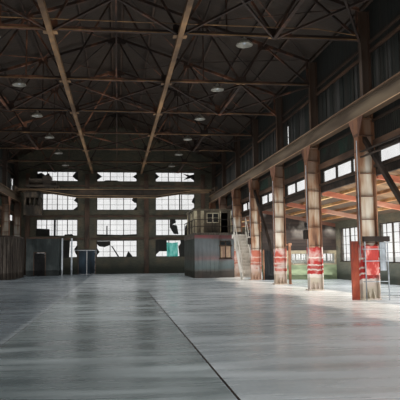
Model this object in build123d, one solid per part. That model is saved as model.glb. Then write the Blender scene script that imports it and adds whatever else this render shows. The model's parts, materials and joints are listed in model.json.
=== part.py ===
from build123d import *
import os

# A steel-framed crane hall with two side aisles, as a model at half its real size.
# X runs across the hall, Y along it towards the far gable, Z up from the ground.
# Lengths are millimetres of the model: one real metre is 500 of them.

os.makedirs("parts", exist_ok=True)

# Plan of the hall
BAY = 3050.0
BAYS = 10
END_WALL_T = 190.0
OUTER_WALL_T = 150.0
UPPER_WALL_T = 60.0
AISLE_CLEAR = 2650.0
FLOOR_T = 75.0

# Columns and the crane runway
COLUMN_INNER_X = 4600.0
COLUMN_W = 340.0
COLUMN_D = 180.0
COLUMN_PLATE = 20.0
COLUMN_FOOT = 40.0
COLUMN_FOOT_T = 25.0
UPPER_COLUMN_W = 190.0
UPPER_COLUMN_D = 120.0
RUNWAY_BOTTOM = 3460.0
RUNWAY_H = 355.0
RUNWAY_W = 150.0
RUNWAY_FLANGE = 20.0
RUNWAY_WEB = 14.0
BRACKET_REACH = 240.0
BRACKET_DROP = 380.0
RAIL_W = 30.0
RAIL_H = 40.0
RAIL_STOP_L = 60.0
RAIL_STOP_H = 200.0

# Roof
CHORD_LEVEL = 5060.0
TRUSS_RISE = 2175.0
ROOF_SLOPE = 1.0 / 3.0
CHORD = 70.0
WEB_BAR = 45.0
CHORD_PANEL_X = (1200.0, 3025.0)
TOP_PANEL_X = (2100.0, 3600.0)
GUSSET_W = 260.0
GUSSET_H = 170.0
GUSSET_T = 56.0
PURLIN_H = 100.0
PURLIN_W = 50.0
PURLINS = 6
RIDGE_GAP = 150.0
DECK_T = 50.0
EAVES = 120.0
VERGE = 60.0
STRUT_W = 95.0
STRUT_H = 90.0
BRACE = 40.0
BRACE_STRUT_W = 70.0

# Walls and windows
SASH_W = 1985.0
SASH_PITCH = 2900.0
SASH_ROWS = ((810.0, 835.0), (1860.0, 820.0), (3125.0, 825.0), (4550.0, 500.0))
PANE_T = 12.0
BAND_MARGIN = 200.0
LOW_BAND = (2550.0, 330.0)
HIGH_BAND = (3900.0, 730.0)
AISLE_SASH_W = 2300.0
AISLE_SASH = (600.0, 1150.0)
UPPER_WALL_FOOT = 2470.0

# Aisles
AISLE_HEAD = 2490.0
AISLE_EAVE = 2000.0
AISLE_DECK_T = 50.0
AISLE_BEAM_H = 120.0
RAFTER_W = 60.0
RAFTER_H = 120.0
AISLE_PURLIN_W = 50.0
AISLE_PURLIN_H = 70.0
AISLE_PURLINS = 4

# Frames with something of their own, by the bays between them and the near wall
PARTITION_BAYS = 7
BRACED_BAYS = (4, 7)
GUARD_BAYS = 4

# The right aisle's cross wall
PARTITION_T = 60.0
PARTITION_SILL = 545.0
PARTITION_SASH_H = 340.0
PARTITION_SASH_W = 780.0
PARTITION_SASHES = 3

# Far doorway and its two leaves
DOORWAY_MARGIN = 62.5
DOORWAY_X = -SASH_PITCH / 2
DOORWAY_W = SASH_PITCH - SASH_W - 2 * DOORWAY_MARGIN
DOORWAY_H = 1150.0
LEAF_T = 40.0
LEAF_CLEAR = 6.0
HINGE_SETBACK = 1.0
HINGE_SIDES = 8
HINGE_SHARES = (0.12, 0.5, 0.88)
DOOR_TRIM_W = 40.0
DOOR_TRIM_T = 12.0
HINGE_R = 5.5
HINGE_L = 90.0

# Overhead crane: its place along the hall, its bridge, trucks and cab
CRANE_PARK_GAP = 190.0
BRIDGE_TOP = 3990.0
BRIDGE_BELLY = 3670.0
BRIDGE_END_H = 65.0
BELLY_HALF = 1850.0
TAPER_HALF = 3550.0
BRIDGE_GIRDER_W = 110.0
BRIDGE_GIRDER_WEB = 16.0
BRIDGE_FLANGE = 18.0
BRIDGE_SPREAD = 900.0
TRUCK_HALF_L = 800.0
TRUCK_W = 120.0
TRUCK_H = 225.0
TRUCK_PLATE = 18.0
WHEEL_R = 110.0
WHEEL_W = 60.0
WHEEL_BASE = 1250.0
AXLE_R = 25.0
WHEEL_SIDES = 28
RUNNING_GAP = 0.3
CAB_X = -3875.0
CAB_W = 750.0
CAB_L = 1010.0
CAB_H = 1060.0
CAB_WALL = 30.0
CAB_SILL = 400.0
CAB_WINDOW_H = 420.0
CAB_HANGER = 60.0

# Crane trolley
TROLLEY_X = -3450.0
TROLLEY_L = 1450.0
TROLLEY_BED_H = 120.0
TROLLEY_WHEEL_R = 60.0
TROLLEY_WHEEL_W = 40.0
TROLLEY_WHEEL_SIDES = 16
WHEEL_ROOM = 30.0
TROLLEY_RAIL_H = 25.0
TROLLEY_RAIL_W = 25.0
DRUM_R = 150.0
DRUM_L = 640.0
DRUM_FLANGE_R = 190.0
DRUM_FLANGE_T = 25.0
GEARBOX_L = 380.0
GEARBOX_W = 300.0
GEARBOX_H = 430.0
MOTOR_R = 110.0
MOTOR_L = 260.0
MOTOR_SIDES = 16

# Right booth with its deck, upper cabin and stair
BOOTH_X = (2950.0, 3880.0)
BOOTH_Y = 8450.0
BOOTH_L = 3300.0
BOOTH_H = 1640.0
BOOTH_WALL = 50.0
RECESS_D = 350.0
RECESS_SILL = 745.0
RECESS_WINDOW = (450.0, 680.0)
DECK_TOP = 1725.0
BOOTH_DECK_T = 85.0
LANDING_X = 4800.0
LANDING_L = 500.0
LANDING_REACH = 750.0
CABIN_X = (3050.0, 4550.0)
CABIN_SETBACK = 750.0
CABIN_L = 2200.0
CABIN_H = 975.0
CABIN_WINDOW = (420.0, 400.0)
RAILING_H = 520.0
RAILING_BAR = 25.0
RAILING_POSTS = 4
RAIL_POST_SHARES = (0.0, 0.34, 0.67, 1.0)
STAIR_X = (4320.0, 4790.0)
STAIR_RUN = 1320.0
STAIR_RISERS = 15
STAIR_TREAD_D = 110.0
STAIR_TREAD_T = 22.0
STAIR_STRINGER = 30.0
STAIR_STRINGER_H = 130.0

# Left booth with its door
LEFT_BOOTH_X = (-4050.0, -2625.0)
LEFT_BOOTH_Y = 13400.0
LEFT_BOOTH_H = 1700.0
LEFT_ROOF_T = 60.0
LEFT_DOOR_X = (-3700.0, -3225.0)
LEFT_DOOR_H = 1040.0
LEFT_LEAF_T = 25.0

# Left boarded store, posts and lamps
STORE_X = -3950.0
STORE_L = 2700.0
STORE_GAP = 1400.0
STORE_H = 1650.0
STORE_WALL = 40.0
POST_R = 38.0
POST_SIDES = 8
POST_X = (-2480.0, -2050.0)
POST_TOP = 1700.0
GUARD_W = 135.0
GUARD_D = 60.0
GUARD_H = 1100.0
LAMP_X = (-2250.0, 2440.0)
LAMP_R = 162.0
LAMP_H = 95.0
LAMP_SIDES = 12
LAMP_TAPER = 40.0
LAMP_DROP = 75.0
LAMP_STEM_R = 14.0

# Places that follow from the sizes above
HALF = BAY * BAYS / 2
COLUMN_OUTER_X = COLUMN_INNER_X + COLUMN_W
UPPER_COLUMN_X = COLUMN_OUTER_X - UPPER_COLUMN_W
UPPER_WALL_X = COLUMN_OUTER_X + UPPER_WALL_T
OUTER_WALL_X = UPPER_WALL_X + AISLE_CLEAR
HALF_WIDTH = OUTER_WALL_X + OUTER_WALL_T
RUNWAY_X = COLUMN_INNER_X + RUNWAY_W / 2
RUNWAY_Z = FLOOR_T + RUNWAY_BOTTOM
RUNWAY_TOP = RUNWAY_Z + RUNWAY_H
RAIL_TOP = RUNWAY_TOP + RAIL_H
CHORD_Z = FLOOR_T + CHORD_LEVEL
APEX_Z = CHORD_Z + TRUSS_RISE
SLOPE_COS = 1.0 / (1.0 + ROOF_SLOPE**2) ** 0.5
AISLE_SLOPE = (AISLE_HEAD - AISLE_EAVE) / AISLE_CLEAR
CRANE_Y = HALF - RAIL_STOP_L - CRANE_PARK_GAP - TRUCK_HALF_L
PURLIN_SEAT = CHORD / 2
DECK_SEAT = PURLIN_SEAT + PURLIN_H
BRIDGE_Z = FLOOR_T + BRIDGE_TOP


def block(x, y, z):
    """A box from three (low, high) pairs."""
    corner = [(low + high) / 2 for low, high in (x, y, z)]
    return Pos(*corner) * Box(x[1] - x[0], y[1] - y[0], z[1] - z[0])


def slab_along_y(points, y):
    """A straight prism along Y, from the corners of its outline as (x, z)."""
    plane = Plane(origin=(0, y[1], 0), x_dir=(1, 0, 0), z_dir=(0, -1, 0))
    return extrude(plane * make_face(Polyline(*points, close=True)), amount=y[1] - y[0])


def slab_along_x(points, x):
    """A straight prism along X, from the corners of its outline as (y, z)."""
    plane = Plane(origin=(x[0], 0, 0), x_dir=(0, 1, 0), z_dir=(1, 0, 0))
    return extrude(plane * make_face(Polyline(*points, close=True)), amount=x[1] - x[0])


def bar(start, end, side, width, depth):
    """A straight bar between two points: its width lies along side, its depth across it."""
    start, end = Vector(*start), Vector(*end)
    plane = Plane(origin=start, x_dir=side, z_dir=end - start)
    return extrude(plane * Rectangle(width, depth), amount=(end - start).length)


def beam_profile(width, depth, flange, web):
    """The outline of an I-section: flanges along its width, the web along its depth."""
    flanges = Locations((0, (depth - flange) / 2), (0, (flange - depth) / 2)) * Rectangle(width, flange)
    return Rectangle(web, depth) + flanges


def joined(shapes):
    """All the shapes fused in one operation."""
    first, *rest = shapes
    return first.fuse(*rest).clean() if rest else first


def both_sides(shapes):
    """The shapes of the right side, with their mirror images on the left."""
    return list(shapes) + [mirror(shape, about=Plane.YZ) for shape in shapes]


def save(name, shapes):
    """Write the separate solids of one sub-part to its own file."""
    solids = [solid for shape in shapes for solid in shape.solids()]
    export_step(solids[0] if len(solids) == 1 else Compound(solids), f"parts/{name}.step")


def frame_y(line):
    return (line - BAYS / 2) * BAY


def roof_z(x, above=0.0):
    """Height of the truss's top line at x, or of a line that lies above it, square to the slope."""
    return APEX_Z - abs(x) * ROOF_SLOPE + above / SLOPE_COS


def aisle_z(x, above=0.0):
    """Height of the underside of the aisle roof's deck, or of a line above it."""
    return FLOOR_T + AISLE_HEAD - (x - UPPER_WALL_X) * AISLE_SLOPE + above


def floor():
    width, length = 2 * HALF_WIDTH, 2 * (HALF + END_WALL_T)
    save("floor_slab", [Pos(0, 0, FLOOR_T / 2) * Box(width, length, FLOOR_T)])


def sash_boxes(y):
    """Where the end wall's windows are: three columns of them, in rows."""
    boxes = []
    for column in (-1, 0, 1):
        middle = column * SASH_PITCH
        for sill, height in SASH_ROWS:
            x = (middle - SASH_W / 2, middle + SASH_W / 2)
            z = (FLOOR_T + sill, FLOOR_T + sill + height)
            boxes.append(block(x, y, z))
    return boxes


def gable_piece(x, foot, y):
    """The part of a gable wall between two places across the hall, from foot to the roof deck."""
    points = [(x[0], foot), (x[1], foot), (x[1], roof_z(x[1], DECK_SEAT))]
    if x[0] < 0 < x[1]:
        points.append((0, roof_z(0, DECK_SEAT)))
    points.append((x[0], roof_z(x[0], DECK_SEAT)))
    return slab_along_y(points, y)


def end_walls():
    far, near = (HALF, HALF + END_WALL_T), (-HALF - END_WALL_T, -HALF)
    door = (DOORWAY_X - DOORWAY_W / 2, DOORWAY_X + DOORWAY_W / 2)
    edge = UPPER_WALL_X
    head = FLOOR_T + DOORWAY_H
    save("far_wall_left", [gable_piece((-edge, door[0]), FLOOR_T, far) - sash_boxes(far)])
    save("far_wall_right", [gable_piece((door[1], edge), FLOOR_T, far) - sash_boxes(far)])
    save("far_wall_over_door", [gable_piece(door, head, far) - sash_boxes(far)])
    save("near_wall", [gable_piece((-edge, edge), FLOOR_T, near) - sash_boxes(near)])
    outline = [
        (UPPER_WALL_X, FLOOR_T), (HALF_WIDTH, FLOOR_T),
        (HALF_WIDTH, aisle_z(HALF_WIDTH)), (UPPER_WALL_X, aisle_z(UPPER_WALL_X)),
    ]
    save("aisle_end_walls", both_sides([slab_along_y(outline, far), slab_along_y(outline, near)]))


def bay_boxes(x, width, band):
    """One box a bay, of the given width, over a (sill, height) band."""
    z = (FLOOR_T + band[0], FLOOR_T + band[0] + band[1])
    middles = [frame_y(bay + 0.5) for bay in range(BAYS)]
    return [block(x, (middle - width / 2, middle + width / 2), z) for middle in middles]


def side_walls():
    length = (-HALF, HALF)
    foot = FLOOR_T + UPPER_WALL_FOOT
    upper = slab_along_y([
        (COLUMN_OUTER_X, foot), (UPPER_WALL_X, foot),
        (UPPER_WALL_X, roof_z(UPPER_WALL_X, DECK_SEAT)), (COLUMN_OUTER_X, roof_z(COLUMN_OUTER_X, DECK_SEAT)),
    ], length)
    upper_x = (COLUMN_OUTER_X, UPPER_WALL_X)
    for band in (LOW_BAND, HIGH_BAND):
        upper -= bay_boxes(upper_x, BAY - BAND_MARGIN * 2, band)
    save("upper_walls", both_sides([upper]))

    outer = slab_along_y([
        (OUTER_WALL_X, FLOOR_T), (HALF_WIDTH, FLOOR_T),
        (HALF_WIDTH, aisle_z(HALF_WIDTH)), (OUTER_WALL_X, aisle_z(OUTER_WALL_X)),
    ], length)
    outer -= bay_boxes((OUTER_WALL_X, HALF_WIDTH), AISLE_SASH_W, AISLE_SASH)
    save("outer_walls", both_sides([outer]))


def partition_boxes(y):
    """Where the windows of the aisle's cross wall are."""
    pitch = AISLE_CLEAR / PARTITION_SASHES
    z = (FLOOR_T + PARTITION_SILL, FLOOR_T + PARTITION_SILL + PARTITION_SASH_H)
    middles = [UPPER_WALL_X + (index + 0.5) * pitch for index in range(PARTITION_SASHES)]
    return [block((x - PARTITION_SASH_W / 2, x + PARTITION_SASH_W / 2), y, z) for x in middles]


def glazing():
    """Sheets of glass in the middle of the walls, one to each window."""
    panes = []
    for wall_middle in (HALF + END_WALL_T / 2, -HALF - END_WALL_T / 2):
        panes += sash_boxes((wall_middle - PANE_T / 2, wall_middle + PANE_T / 2))
    save("end_windows", panes)
    middle = COLUMN_OUTER_X + UPPER_WALL_T / 2
    x = (middle - PANE_T / 2, middle + PANE_T / 2)
    upper = [pane for band in (LOW_BAND, HIGH_BAND) for pane in bay_boxes(x, BAY - BAND_MARGIN * 2, band)]
    save("upper_windows", both_sides(upper))
    middle = OUTER_WALL_X + OUTER_WALL_T / 2
    x = (middle - PANE_T / 2, middle + PANE_T / 2)
    aisle = both_sides(bay_boxes(x, AISLE_SASH_W, AISLE_SASH))
    middle = frame_y(PARTITION_BAYS)
    save("aisle_windows", aisle + partition_boxes((middle - PANE_T / 2, middle + PANE_T / 2)))


def roofs():
    length = (-HALF - END_WALL_T - VERGE, HALF + END_WALL_T + VERGE)
    edge = UPPER_WALL_X + EAVES
    nave = slab_along_y([
        (0, roof_z(0, DECK_SEAT)), (edge, roof_z(edge, DECK_SEAT)),
        (edge, roof_z(edge, DECK_SEAT + DECK_T)), (0, roof_z(0, DECK_SEAT + DECK_T)),
    ], length)
    save("nave_roof_right", [nave])
    save("nave_roof_left", [mirror(nave, about=Plane.YZ)])
    edge = HALF_WIDTH + EAVES
    aisle = slab_along_y([
        (UPPER_WALL_X, aisle_z(UPPER_WALL_X)), (edge, aisle_z(edge)),
        (edge, aisle_z(edge, AISLE_DECK_T)), (UPPER_WALL_X, aisle_z(UPPER_WALL_X, AISLE_DECK_T)),
    ], length)
    save("aisle_roofs", both_sides([aisle]))


def purlins():
    """Purlins on the truss's top line: a pair at the ridge and an even row down each slope."""
    last = UPPER_COLUMN_X + UPPER_COLUMN_W / 2
    places = [RIDGE_GAP + (last - RIDGE_GAP) * step / PURLINS for step in range(PURLINS + 1)]
    slope = Vector(1, 0, -ROOF_SLOPE)
    middle = PURLIN_SEAT + PURLIN_H / 2
    row = [
        bar((x, -HALF, roof_z(x, middle)), (x, HALF, roof_z(x, middle)), slope, PURLIN_W, PURLIN_H)
        for x in places
    ]
    save("purlins", both_sides(row))


def truss():
    """One roof truss at y = 0, with its bars fused where they meet and a plate at each joint."""
    end = UPPER_COLUMN_X
    across = (0, 1, 0)
    near_x, far_x = CHORD_PANEL_X
    node_a, node_b = TOP_PANEL_X
    bars = [bar((-end, 0, CHORD_Z), (end, 0, CHORD_Z), across, CHORD, CHORD)]
    plates = []
    for side in (-1, 1):
        def low(x):
            return (side * x, 0, CHORD_Z)

        def high(x):
            return (side * x, 0, roof_z(x))

        tail = end + CHORD
        bars.append(bar(high(0), high(tail), across, CHORD, CHORD))
        webs = [
            (high(0), low(near_x)), (low(near_x), high(node_a)), (high(node_a), low(far_x)),
            (low(far_x), high(node_b)), (high(node_b), low(end)),
        ]
        bars += [bar(start, stop, across, WEB_BAR, WEB_BAR) for start, stop in webs]
        bars.append(bar(low(end - WEB_BAR), high(end - WEB_BAR), across, WEB_BAR, WEB_BAR))
        lift = (GUSSET_H - CHORD) / 2
        for x, y, z in (low(near_x), low(far_x)):
            plates.append(Pos(x, y, z + lift) * Box(GUSSET_W, GUSSET_T, GUSSET_H))
        for x, y, z in (high(node_a), high(node_b)):
            plates.append(Pos(x, y, z - lift) * Box(GUSSET_W, GUSSET_T, GUSSET_H))
    plates.append(Pos(0, 0, roof_z(0) - GUSSET_H / 2) * Box(GUSSET_W * 2, GUSSET_T, GUSSET_H))
    roof_line = [(-end, CHORD_Z - CHORD), (end, CHORD_Z - CHORD), (end, roof_z(end, CHORD / 2)),
                 (0, roof_z(0, CHORD / 2)), (-end, roof_z(end, CHORD / 2))]
    return joined(bars + plates) & slab_along_y(roof_line, (-CHORD, CHORD))


def trusses():
    one = truss()
    save("roof_trusses", [Pos(0, frame_y(line), 0) * one for line in range(1, BAYS)])


def chord_plane():
    """The long struts and the crossed braces that lie under the trusses' bottom line."""
    top = CHORD_Z - CHORD / 2
    strut_x = (CHORD_PANEL_X[0] - STRUT_W / 2, CHORD_PANEL_X[0] + STRUT_W / 2)
    strut = block(strut_x, (-HALF, HALF), (top - STRUT_H, top))
    struts = both_sides([strut])
    save("chord_struts", struts)
    stations = (-UPPER_COLUMN_X, -CHORD_PANEL_X[1], -CHORD_PANEL_X[0],
                CHORD_PANEL_X[0], CHORD_PANEL_X[1], UPPER_COLUMN_X)
    level = top - BRACE / 2
    cross = []
    for x0, x1 in zip(stations, stations[1:]):
        for a, b in ((x0, x1), (x1, x0)):
            cross.append(bar((a, 0, level), (b, BAY, level), (0, 0, 1), BRACE, BRACE))
    for x in (-CHORD_PANEL_X[1], CHORD_PANEL_X[1]):
        cross.append(bar((x, 0, level), (x, BAY, level), (0, 0, 1), BRACE, BRACE_STRUT_W))
    lattice = joined(cross) - struts
    lattice &= block((-UPPER_COLUMN_X, UPPER_COLUMN_X), (0, BAY), (top - BRACE, top))
    save("chord_bracing", [Pos(0, frame_y(bay), 0) * lattice for bay in range(1, BAYS, 2)])


def column():
    """One stepped column at y = 0: a wide foot part under the runway, a narrow one behind it."""
    middle = COLUMN_INNER_X + COLUMN_W / 2
    lower = Rot(0, 0, 90) * beam_profile(COLUMN_D, COLUMN_W, COLUMN_PLATE, COLUMN_PLATE)
    height = RUNWAY_Z - COLUMN_PLATE - FLOOR_T
    shaft = extrude(Pos(middle, 0, FLOOR_T) * lower, amount=height)
    foot_half = COLUMN_D / 2 + COLUMN_FOOT
    foot = block((COLUMN_INNER_X - COLUMN_FOOT, COLUMN_OUTER_X), (-foot_half, foot_half),
                 (FLOOR_T, FLOOR_T + COLUMN_FOOT_T))
    cap = block((COLUMN_INNER_X, COLUMN_OUTER_X), (-COLUMN_D / 2, COLUMN_D / 2),
                (RUNWAY_Z - COLUMN_PLATE, RUNWAY_Z))
    upper = Rot(0, 0, 90) * beam_profile(UPPER_COLUMN_D, UPPER_COLUMN_W, COLUMN_PLATE, COLUMN_PLATE)
    top = roof_z(COLUMN_OUTER_X, PURLIN_SEAT)
    stem = extrude(Pos(UPPER_COLUMN_X + UPPER_COLUMN_W / 2, 0, RUNWAY_Z) * upper, amount=top - RUNWAY_Z)
    return joined([shaft, foot, cap, stem])


def column_lines():
    """Frame lines, with the first and last columns just inside the end walls."""
    inset = COLUMN_D / 2 + COLUMN_FOOT
    return [-HALF + inset] + [frame_y(line) for line in range(1, BAYS)] + [HALF - inset]


def columns():
    one = column()
    lines = column_lines()
    save("columns", both_sides([Pos(0, y, 0) * one for y in lines]))
    x = (COLUMN_INNER_X, COLUMN_INNER_X + COLUMN_PLATE)
    root, reach = COLUMN_D / 2, COLUMN_D / 2 + BRACKET_REACH
    brackets = []
    for y in lines:
        for way in (-1, 1):
            tip = y + way * reach
            if abs(tip) < HALF:
                side = y + way * root
                outline = [(side, RUNWAY_Z - BRACKET_DROP), (tip, RUNWAY_Z), (side, RUNWAY_Z)]
                brackets.append(slab_along_x(outline, x))
    save("runway_brackets", both_sides(brackets))


def column_bracing():
    """Long diagonal bars in the column lines, from one column's head to the next one's foot."""
    x = COLUMN_INNER_X + COLUMN_W / 2
    web = COLUMN_PLATE / 2
    bars = []
    for line in BRACED_BAYS:
        high, low = frame_y(line), frame_y(line - 1)
        top, bottom = RUNWAY_Z - BRACKET_DROP, FLOOR_T + COLUMN_FOOT_T + BRACE * 2
        whole = bar((x, low, bottom), (x, high, top), (1, 0, 0), BRACE * 2, BRACE * 2)
        bars.append(whole & block((x - BRACE, x + BRACE), (low + web, high - web), (FLOOR_T, RUNWAY_Z)))
    save("column_bracing", both_sides(bars))


def runway():
    section = Plane(origin=(RUNWAY_X, HALF, RUNWAY_Z + RUNWAY_H / 2), x_dir=(1, 0, 0), z_dir=(0, -1, 0))
    profile = beam_profile(RUNWAY_W, RUNWAY_H, RUNWAY_FLANGE, RUNWAY_WEB)
    save("runway_girders", both_sides([extrude(section * profile, amount=2 * HALF)]))
    x = (RUNWAY_X - RAIL_W / 2, RUNWAY_X + RAIL_W / 2)
    rail = block(x, (-HALF, HALF), (RUNWAY_TOP, RAIL_TOP))
    stops = [
        block(x, (end - RAIL_STOP_L / 2, end + RAIL_STOP_L / 2), (RUNWAY_TOP, RUNWAY_TOP + RAIL_STOP_H))
        for end in (RAIL_STOP_L / 2 - HALF, HALF - RAIL_STOP_L / 2)
    ]
    save("runway_rails", both_sides([joined([rail] + stops)]))


def aisle_frames():
    """Aisle beams under the upper walls, rafters at the frame lines and purlins over them."""
    foot = FLOOR_T + UPPER_WALL_FOOT
    beam = block((COLUMN_OUTER_X, UPPER_WALL_X), (-HALF, HALF), (foot - AISLE_BEAM_H, foot))
    save("aisle_beams", both_sides([beam]))
    drop = AISLE_PURLIN_H
    deep = drop + RAFTER_H
    outline = [
        (UPPER_WALL_X, aisle_z(UPPER_WALL_X, -deep)), (OUTER_WALL_X, aisle_z(OUTER_WALL_X, -deep)),
        (OUTER_WALL_X, aisle_z(OUTER_WALL_X, -drop)), (UPPER_WALL_X, aisle_z(UPPER_WALL_X, -drop)),
    ]
    rafters = [
        slab_along_y(outline, (frame_y(line) - RAFTER_W / 2, frame_y(line) + RAFTER_W / 2))
        for line in range(1, BAYS)
    ]
    save("aisle_rafters", both_sides(rafters))
    step = AISLE_CLEAR / (AISLE_PURLINS + 1)
    rows = []
    for index in range(1, AISLE_PURLINS + 1):
        x = UPPER_WALL_X + index * step
        left, right = x - AISLE_PURLIN_W / 2, x + AISLE_PURLIN_W / 2
        rows.append(slab_along_y(
            [(left, aisle_z(left, -drop)), (right, aisle_z(right, -drop)), (right, aisle_z(right)),
             (left, aisle_z(left))], (-HALF, HALF)))
    save("aisle_purlins", both_sides(rows))


def aisle_partition():
    """The boarded cross wall in the right aisle, with a row of small windows."""
    y = (frame_y(PARTITION_BAYS) - PARTITION_T / 2, frame_y(PARTITION_BAYS) + PARTITION_T / 2)
    top = -AISLE_PURLIN_H - RAFTER_H
    wall = slab_along_y([
        (UPPER_WALL_X, FLOOR_T), (OUTER_WALL_X, FLOOR_T),
        (OUTER_WALL_X, aisle_z(OUTER_WALL_X, top)), (UPPER_WALL_X, aisle_z(UPPER_WALL_X, top)),
    ], y)
    save("aisle_partition", [wall - partition_boxes(y)])


def door_leaf(pivot_x, face_y, way, width, thickness, z):
    """A leaf whose hinge barrel stands just off the wall's face; way is +1 if it opens to its right."""
    barrel_y = face_y - LEAF_CLEAR
    edge = pivot_x - way * HINGE_SETBACK
    x = sorted((edge, edge + way * width))
    leaf = block(x, (face_y, face_y + thickness), z)
    tab_x = sorted((pivot_x, edge + way * DOOR_TRIM_W))
    shapes = [leaf]
    barrel = RegularPolygon(HINGE_R, HINGE_SIDES)
    for share in HINGE_SHARES:
        low = z[0] + (z[1] - z[0] - HINGE_L) * share
        shapes.append(extrude(Pos(pivot_x, barrel_y, low) * barrel, amount=HINGE_L))
        shapes.append(block(tab_x, (barrel_y, face_y), (low, low + HINGE_L)))
    return joined(shapes)


def door_trim(x, face_y, head):
    """A frame on the wall's face around a doorway, which the hinge barrels stand against."""
    outside = block((x[0] - DOOR_TRIM_W, x[1] + DOOR_TRIM_W), (face_y - DOOR_TRIM_T, face_y),
                    (FLOOR_T, head + DOOR_TRIM_W))
    return outside - block(x, (face_y - DOOR_TRIM_T, face_y), (FLOOR_T, head))


def far_doors():
    x = (DOORWAY_X - DOORWAY_W / 2, DOORWAY_X + DOORWAY_W / 2)
    head = FLOOR_T + DOORWAY_H
    z = (FLOOR_T + LEAF_CLEAR, head - LEAF_CLEAR)
    width = DOORWAY_W / 2 - 2 * LEAF_CLEAR + HINGE_SETBACK
    save("far_door_left", [door_leaf(x[0] + LEAF_CLEAR, HALF, 1, width, LEAF_T, z)])
    save("far_door_right", [door_leaf(x[1] - LEAF_CLEAR, HALF, -1, width, LEAF_T, z)])
    booth_head = FLOOR_T + LEFT_DOOR_H
    save("door_trims", [door_trim(x, HALF, head), door_trim(LEFT_DOOR_X, LEFT_BOOTH_Y, booth_head)])


def crane_bridge():
    """Two fish-bellied girders with flanges, and the trolley's rails on them."""
    end = RUNWAY_X - TRUCK_W / 2
    base = BRIDGE_Z - BRIDGE_END_H
    belly = FLOOR_T + BRIDGE_BELLY

    def outline(margin):
        low = belly + margin
        thin = base + margin
        return [(-end, thin), (-TAPER_HALF, thin), (-BELLY_HALF, low), (BELLY_HALF, low),
                (TAPER_HALF, thin), (end, thin), (end, BRIDGE_Z - margin), (-end, BRIDGE_Z - margin)]

    solids = []
    for way in (-1, 1):
        y = CRANE_Y + way * BRIDGE_SPREAD / 2
        half, web = BRIDGE_GIRDER_W / 2, BRIDGE_GIRDER_WEB / 2
        girder = slab_along_y(outline(0), (y - half, y + half))
        girder -= slab_along_y(outline(BRIDGE_FLANGE), (y - half, y - web))
        girder -= slab_along_y(outline(BRIDGE_FLANGE), (y + web, y + half))
        rail_y = (y - TROLLEY_RAIL_W / 2, y + TROLLEY_RAIL_W / 2)
        rail = block((-end, end), rail_y, (BRIDGE_Z, BRIDGE_Z + TROLLEY_RAIL_H))
        solids.append(joined([girder, rail]))
    save("crane_bridge", solids)


def crane_trucks():
    """The end trucks over the runway rails, open below, with two wheels each."""
    inner, outer = RUNWAY_X - TRUCK_W / 2, RUNWAY_X + TRUCK_W / 2
    y = (CRANE_Y - TRUCK_HALF_L, CRANE_Y + TRUCK_HALF_L)
    bottom = RAIL_TOP + AXLE_R
    body = block((inner, outer), y, (bottom, bottom + TRUCK_H))
    hollow = block((inner + TRUCK_PLATE, outer - TRUCK_PLATE), (y[0] + TRUCK_PLATE, y[1] - TRUCK_PLATE),
                   (bottom, bottom + TRUCK_H - TRUCK_PLATE))
    save("crane_trucks", both_sides([body - hollow]))
    wheels = []
    for way in (-1, 1):
        hub_z = RAIL_TOP + RUNNING_GAP + WHEEL_R
        spot = Pos(RUNWAY_X, CRANE_Y + way * WHEEL_BASE / 2, hub_z) * Rot(0, 90, 0)
        axle_l = TRUCK_W - 2 * TRUCK_PLATE
        disc = extrude(RegularPolygon(WHEEL_R, WHEEL_SIDES), amount=WHEEL_W / 2, both=True)
        axle = extrude(RegularPolygon(AXLE_R, HINGE_SIDES), amount=axle_l / 2, both=True)
        wheels.append(spot * joined([disc, axle]))
    save("crane_wheels", both_sides(wheels))


def crane_cab():
    """The driver's cab under the bridge's thin left end, open at its windows."""
    top = BRIDGE_Z - BRIDGE_END_H - CAB_HANGER
    x = (CAB_X - CAB_W / 2, CAB_X + CAB_W / 2)
    y = (CRANE_Y - CAB_L / 2, CRANE_Y + CAB_L / 2)
    bottom = top - CAB_H
    room = block((x[0] + CAB_WALL, x[1] - CAB_WALL), (y[0] + CAB_WALL, y[1] - CAB_WALL),
                 (bottom + CAB_WALL, top - CAB_WALL))
    walls = block(x, y, (bottom, top)) - room
    z = (bottom + CAB_SILL, bottom + CAB_SILL + CAB_WINDOW_H)
    inset = CAB_WALL * 2
    walls -= block((x[0] + inset, x[1] - inset), (y[0], y[1]), z)
    walls -= block((x[0], x[1]), (y[0] + inset, y[1] - inset), z)
    hangers = []
    for hanger_x in (x[0] + 2 * CAB_HANGER, x[1] - 2 * CAB_HANGER):
        for way in (-1, 1):
            place = CRANE_Y + way * BRIDGE_SPREAD / 2
            hangers.append(block((hanger_x - BRACE / 2, hanger_x + BRACE / 2),
                                 (place - BRACE / 2, place + BRACE / 2), (top, top + CAB_HANGER)))
    save("crane_cab", [joined([walls] + hangers)])


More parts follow.
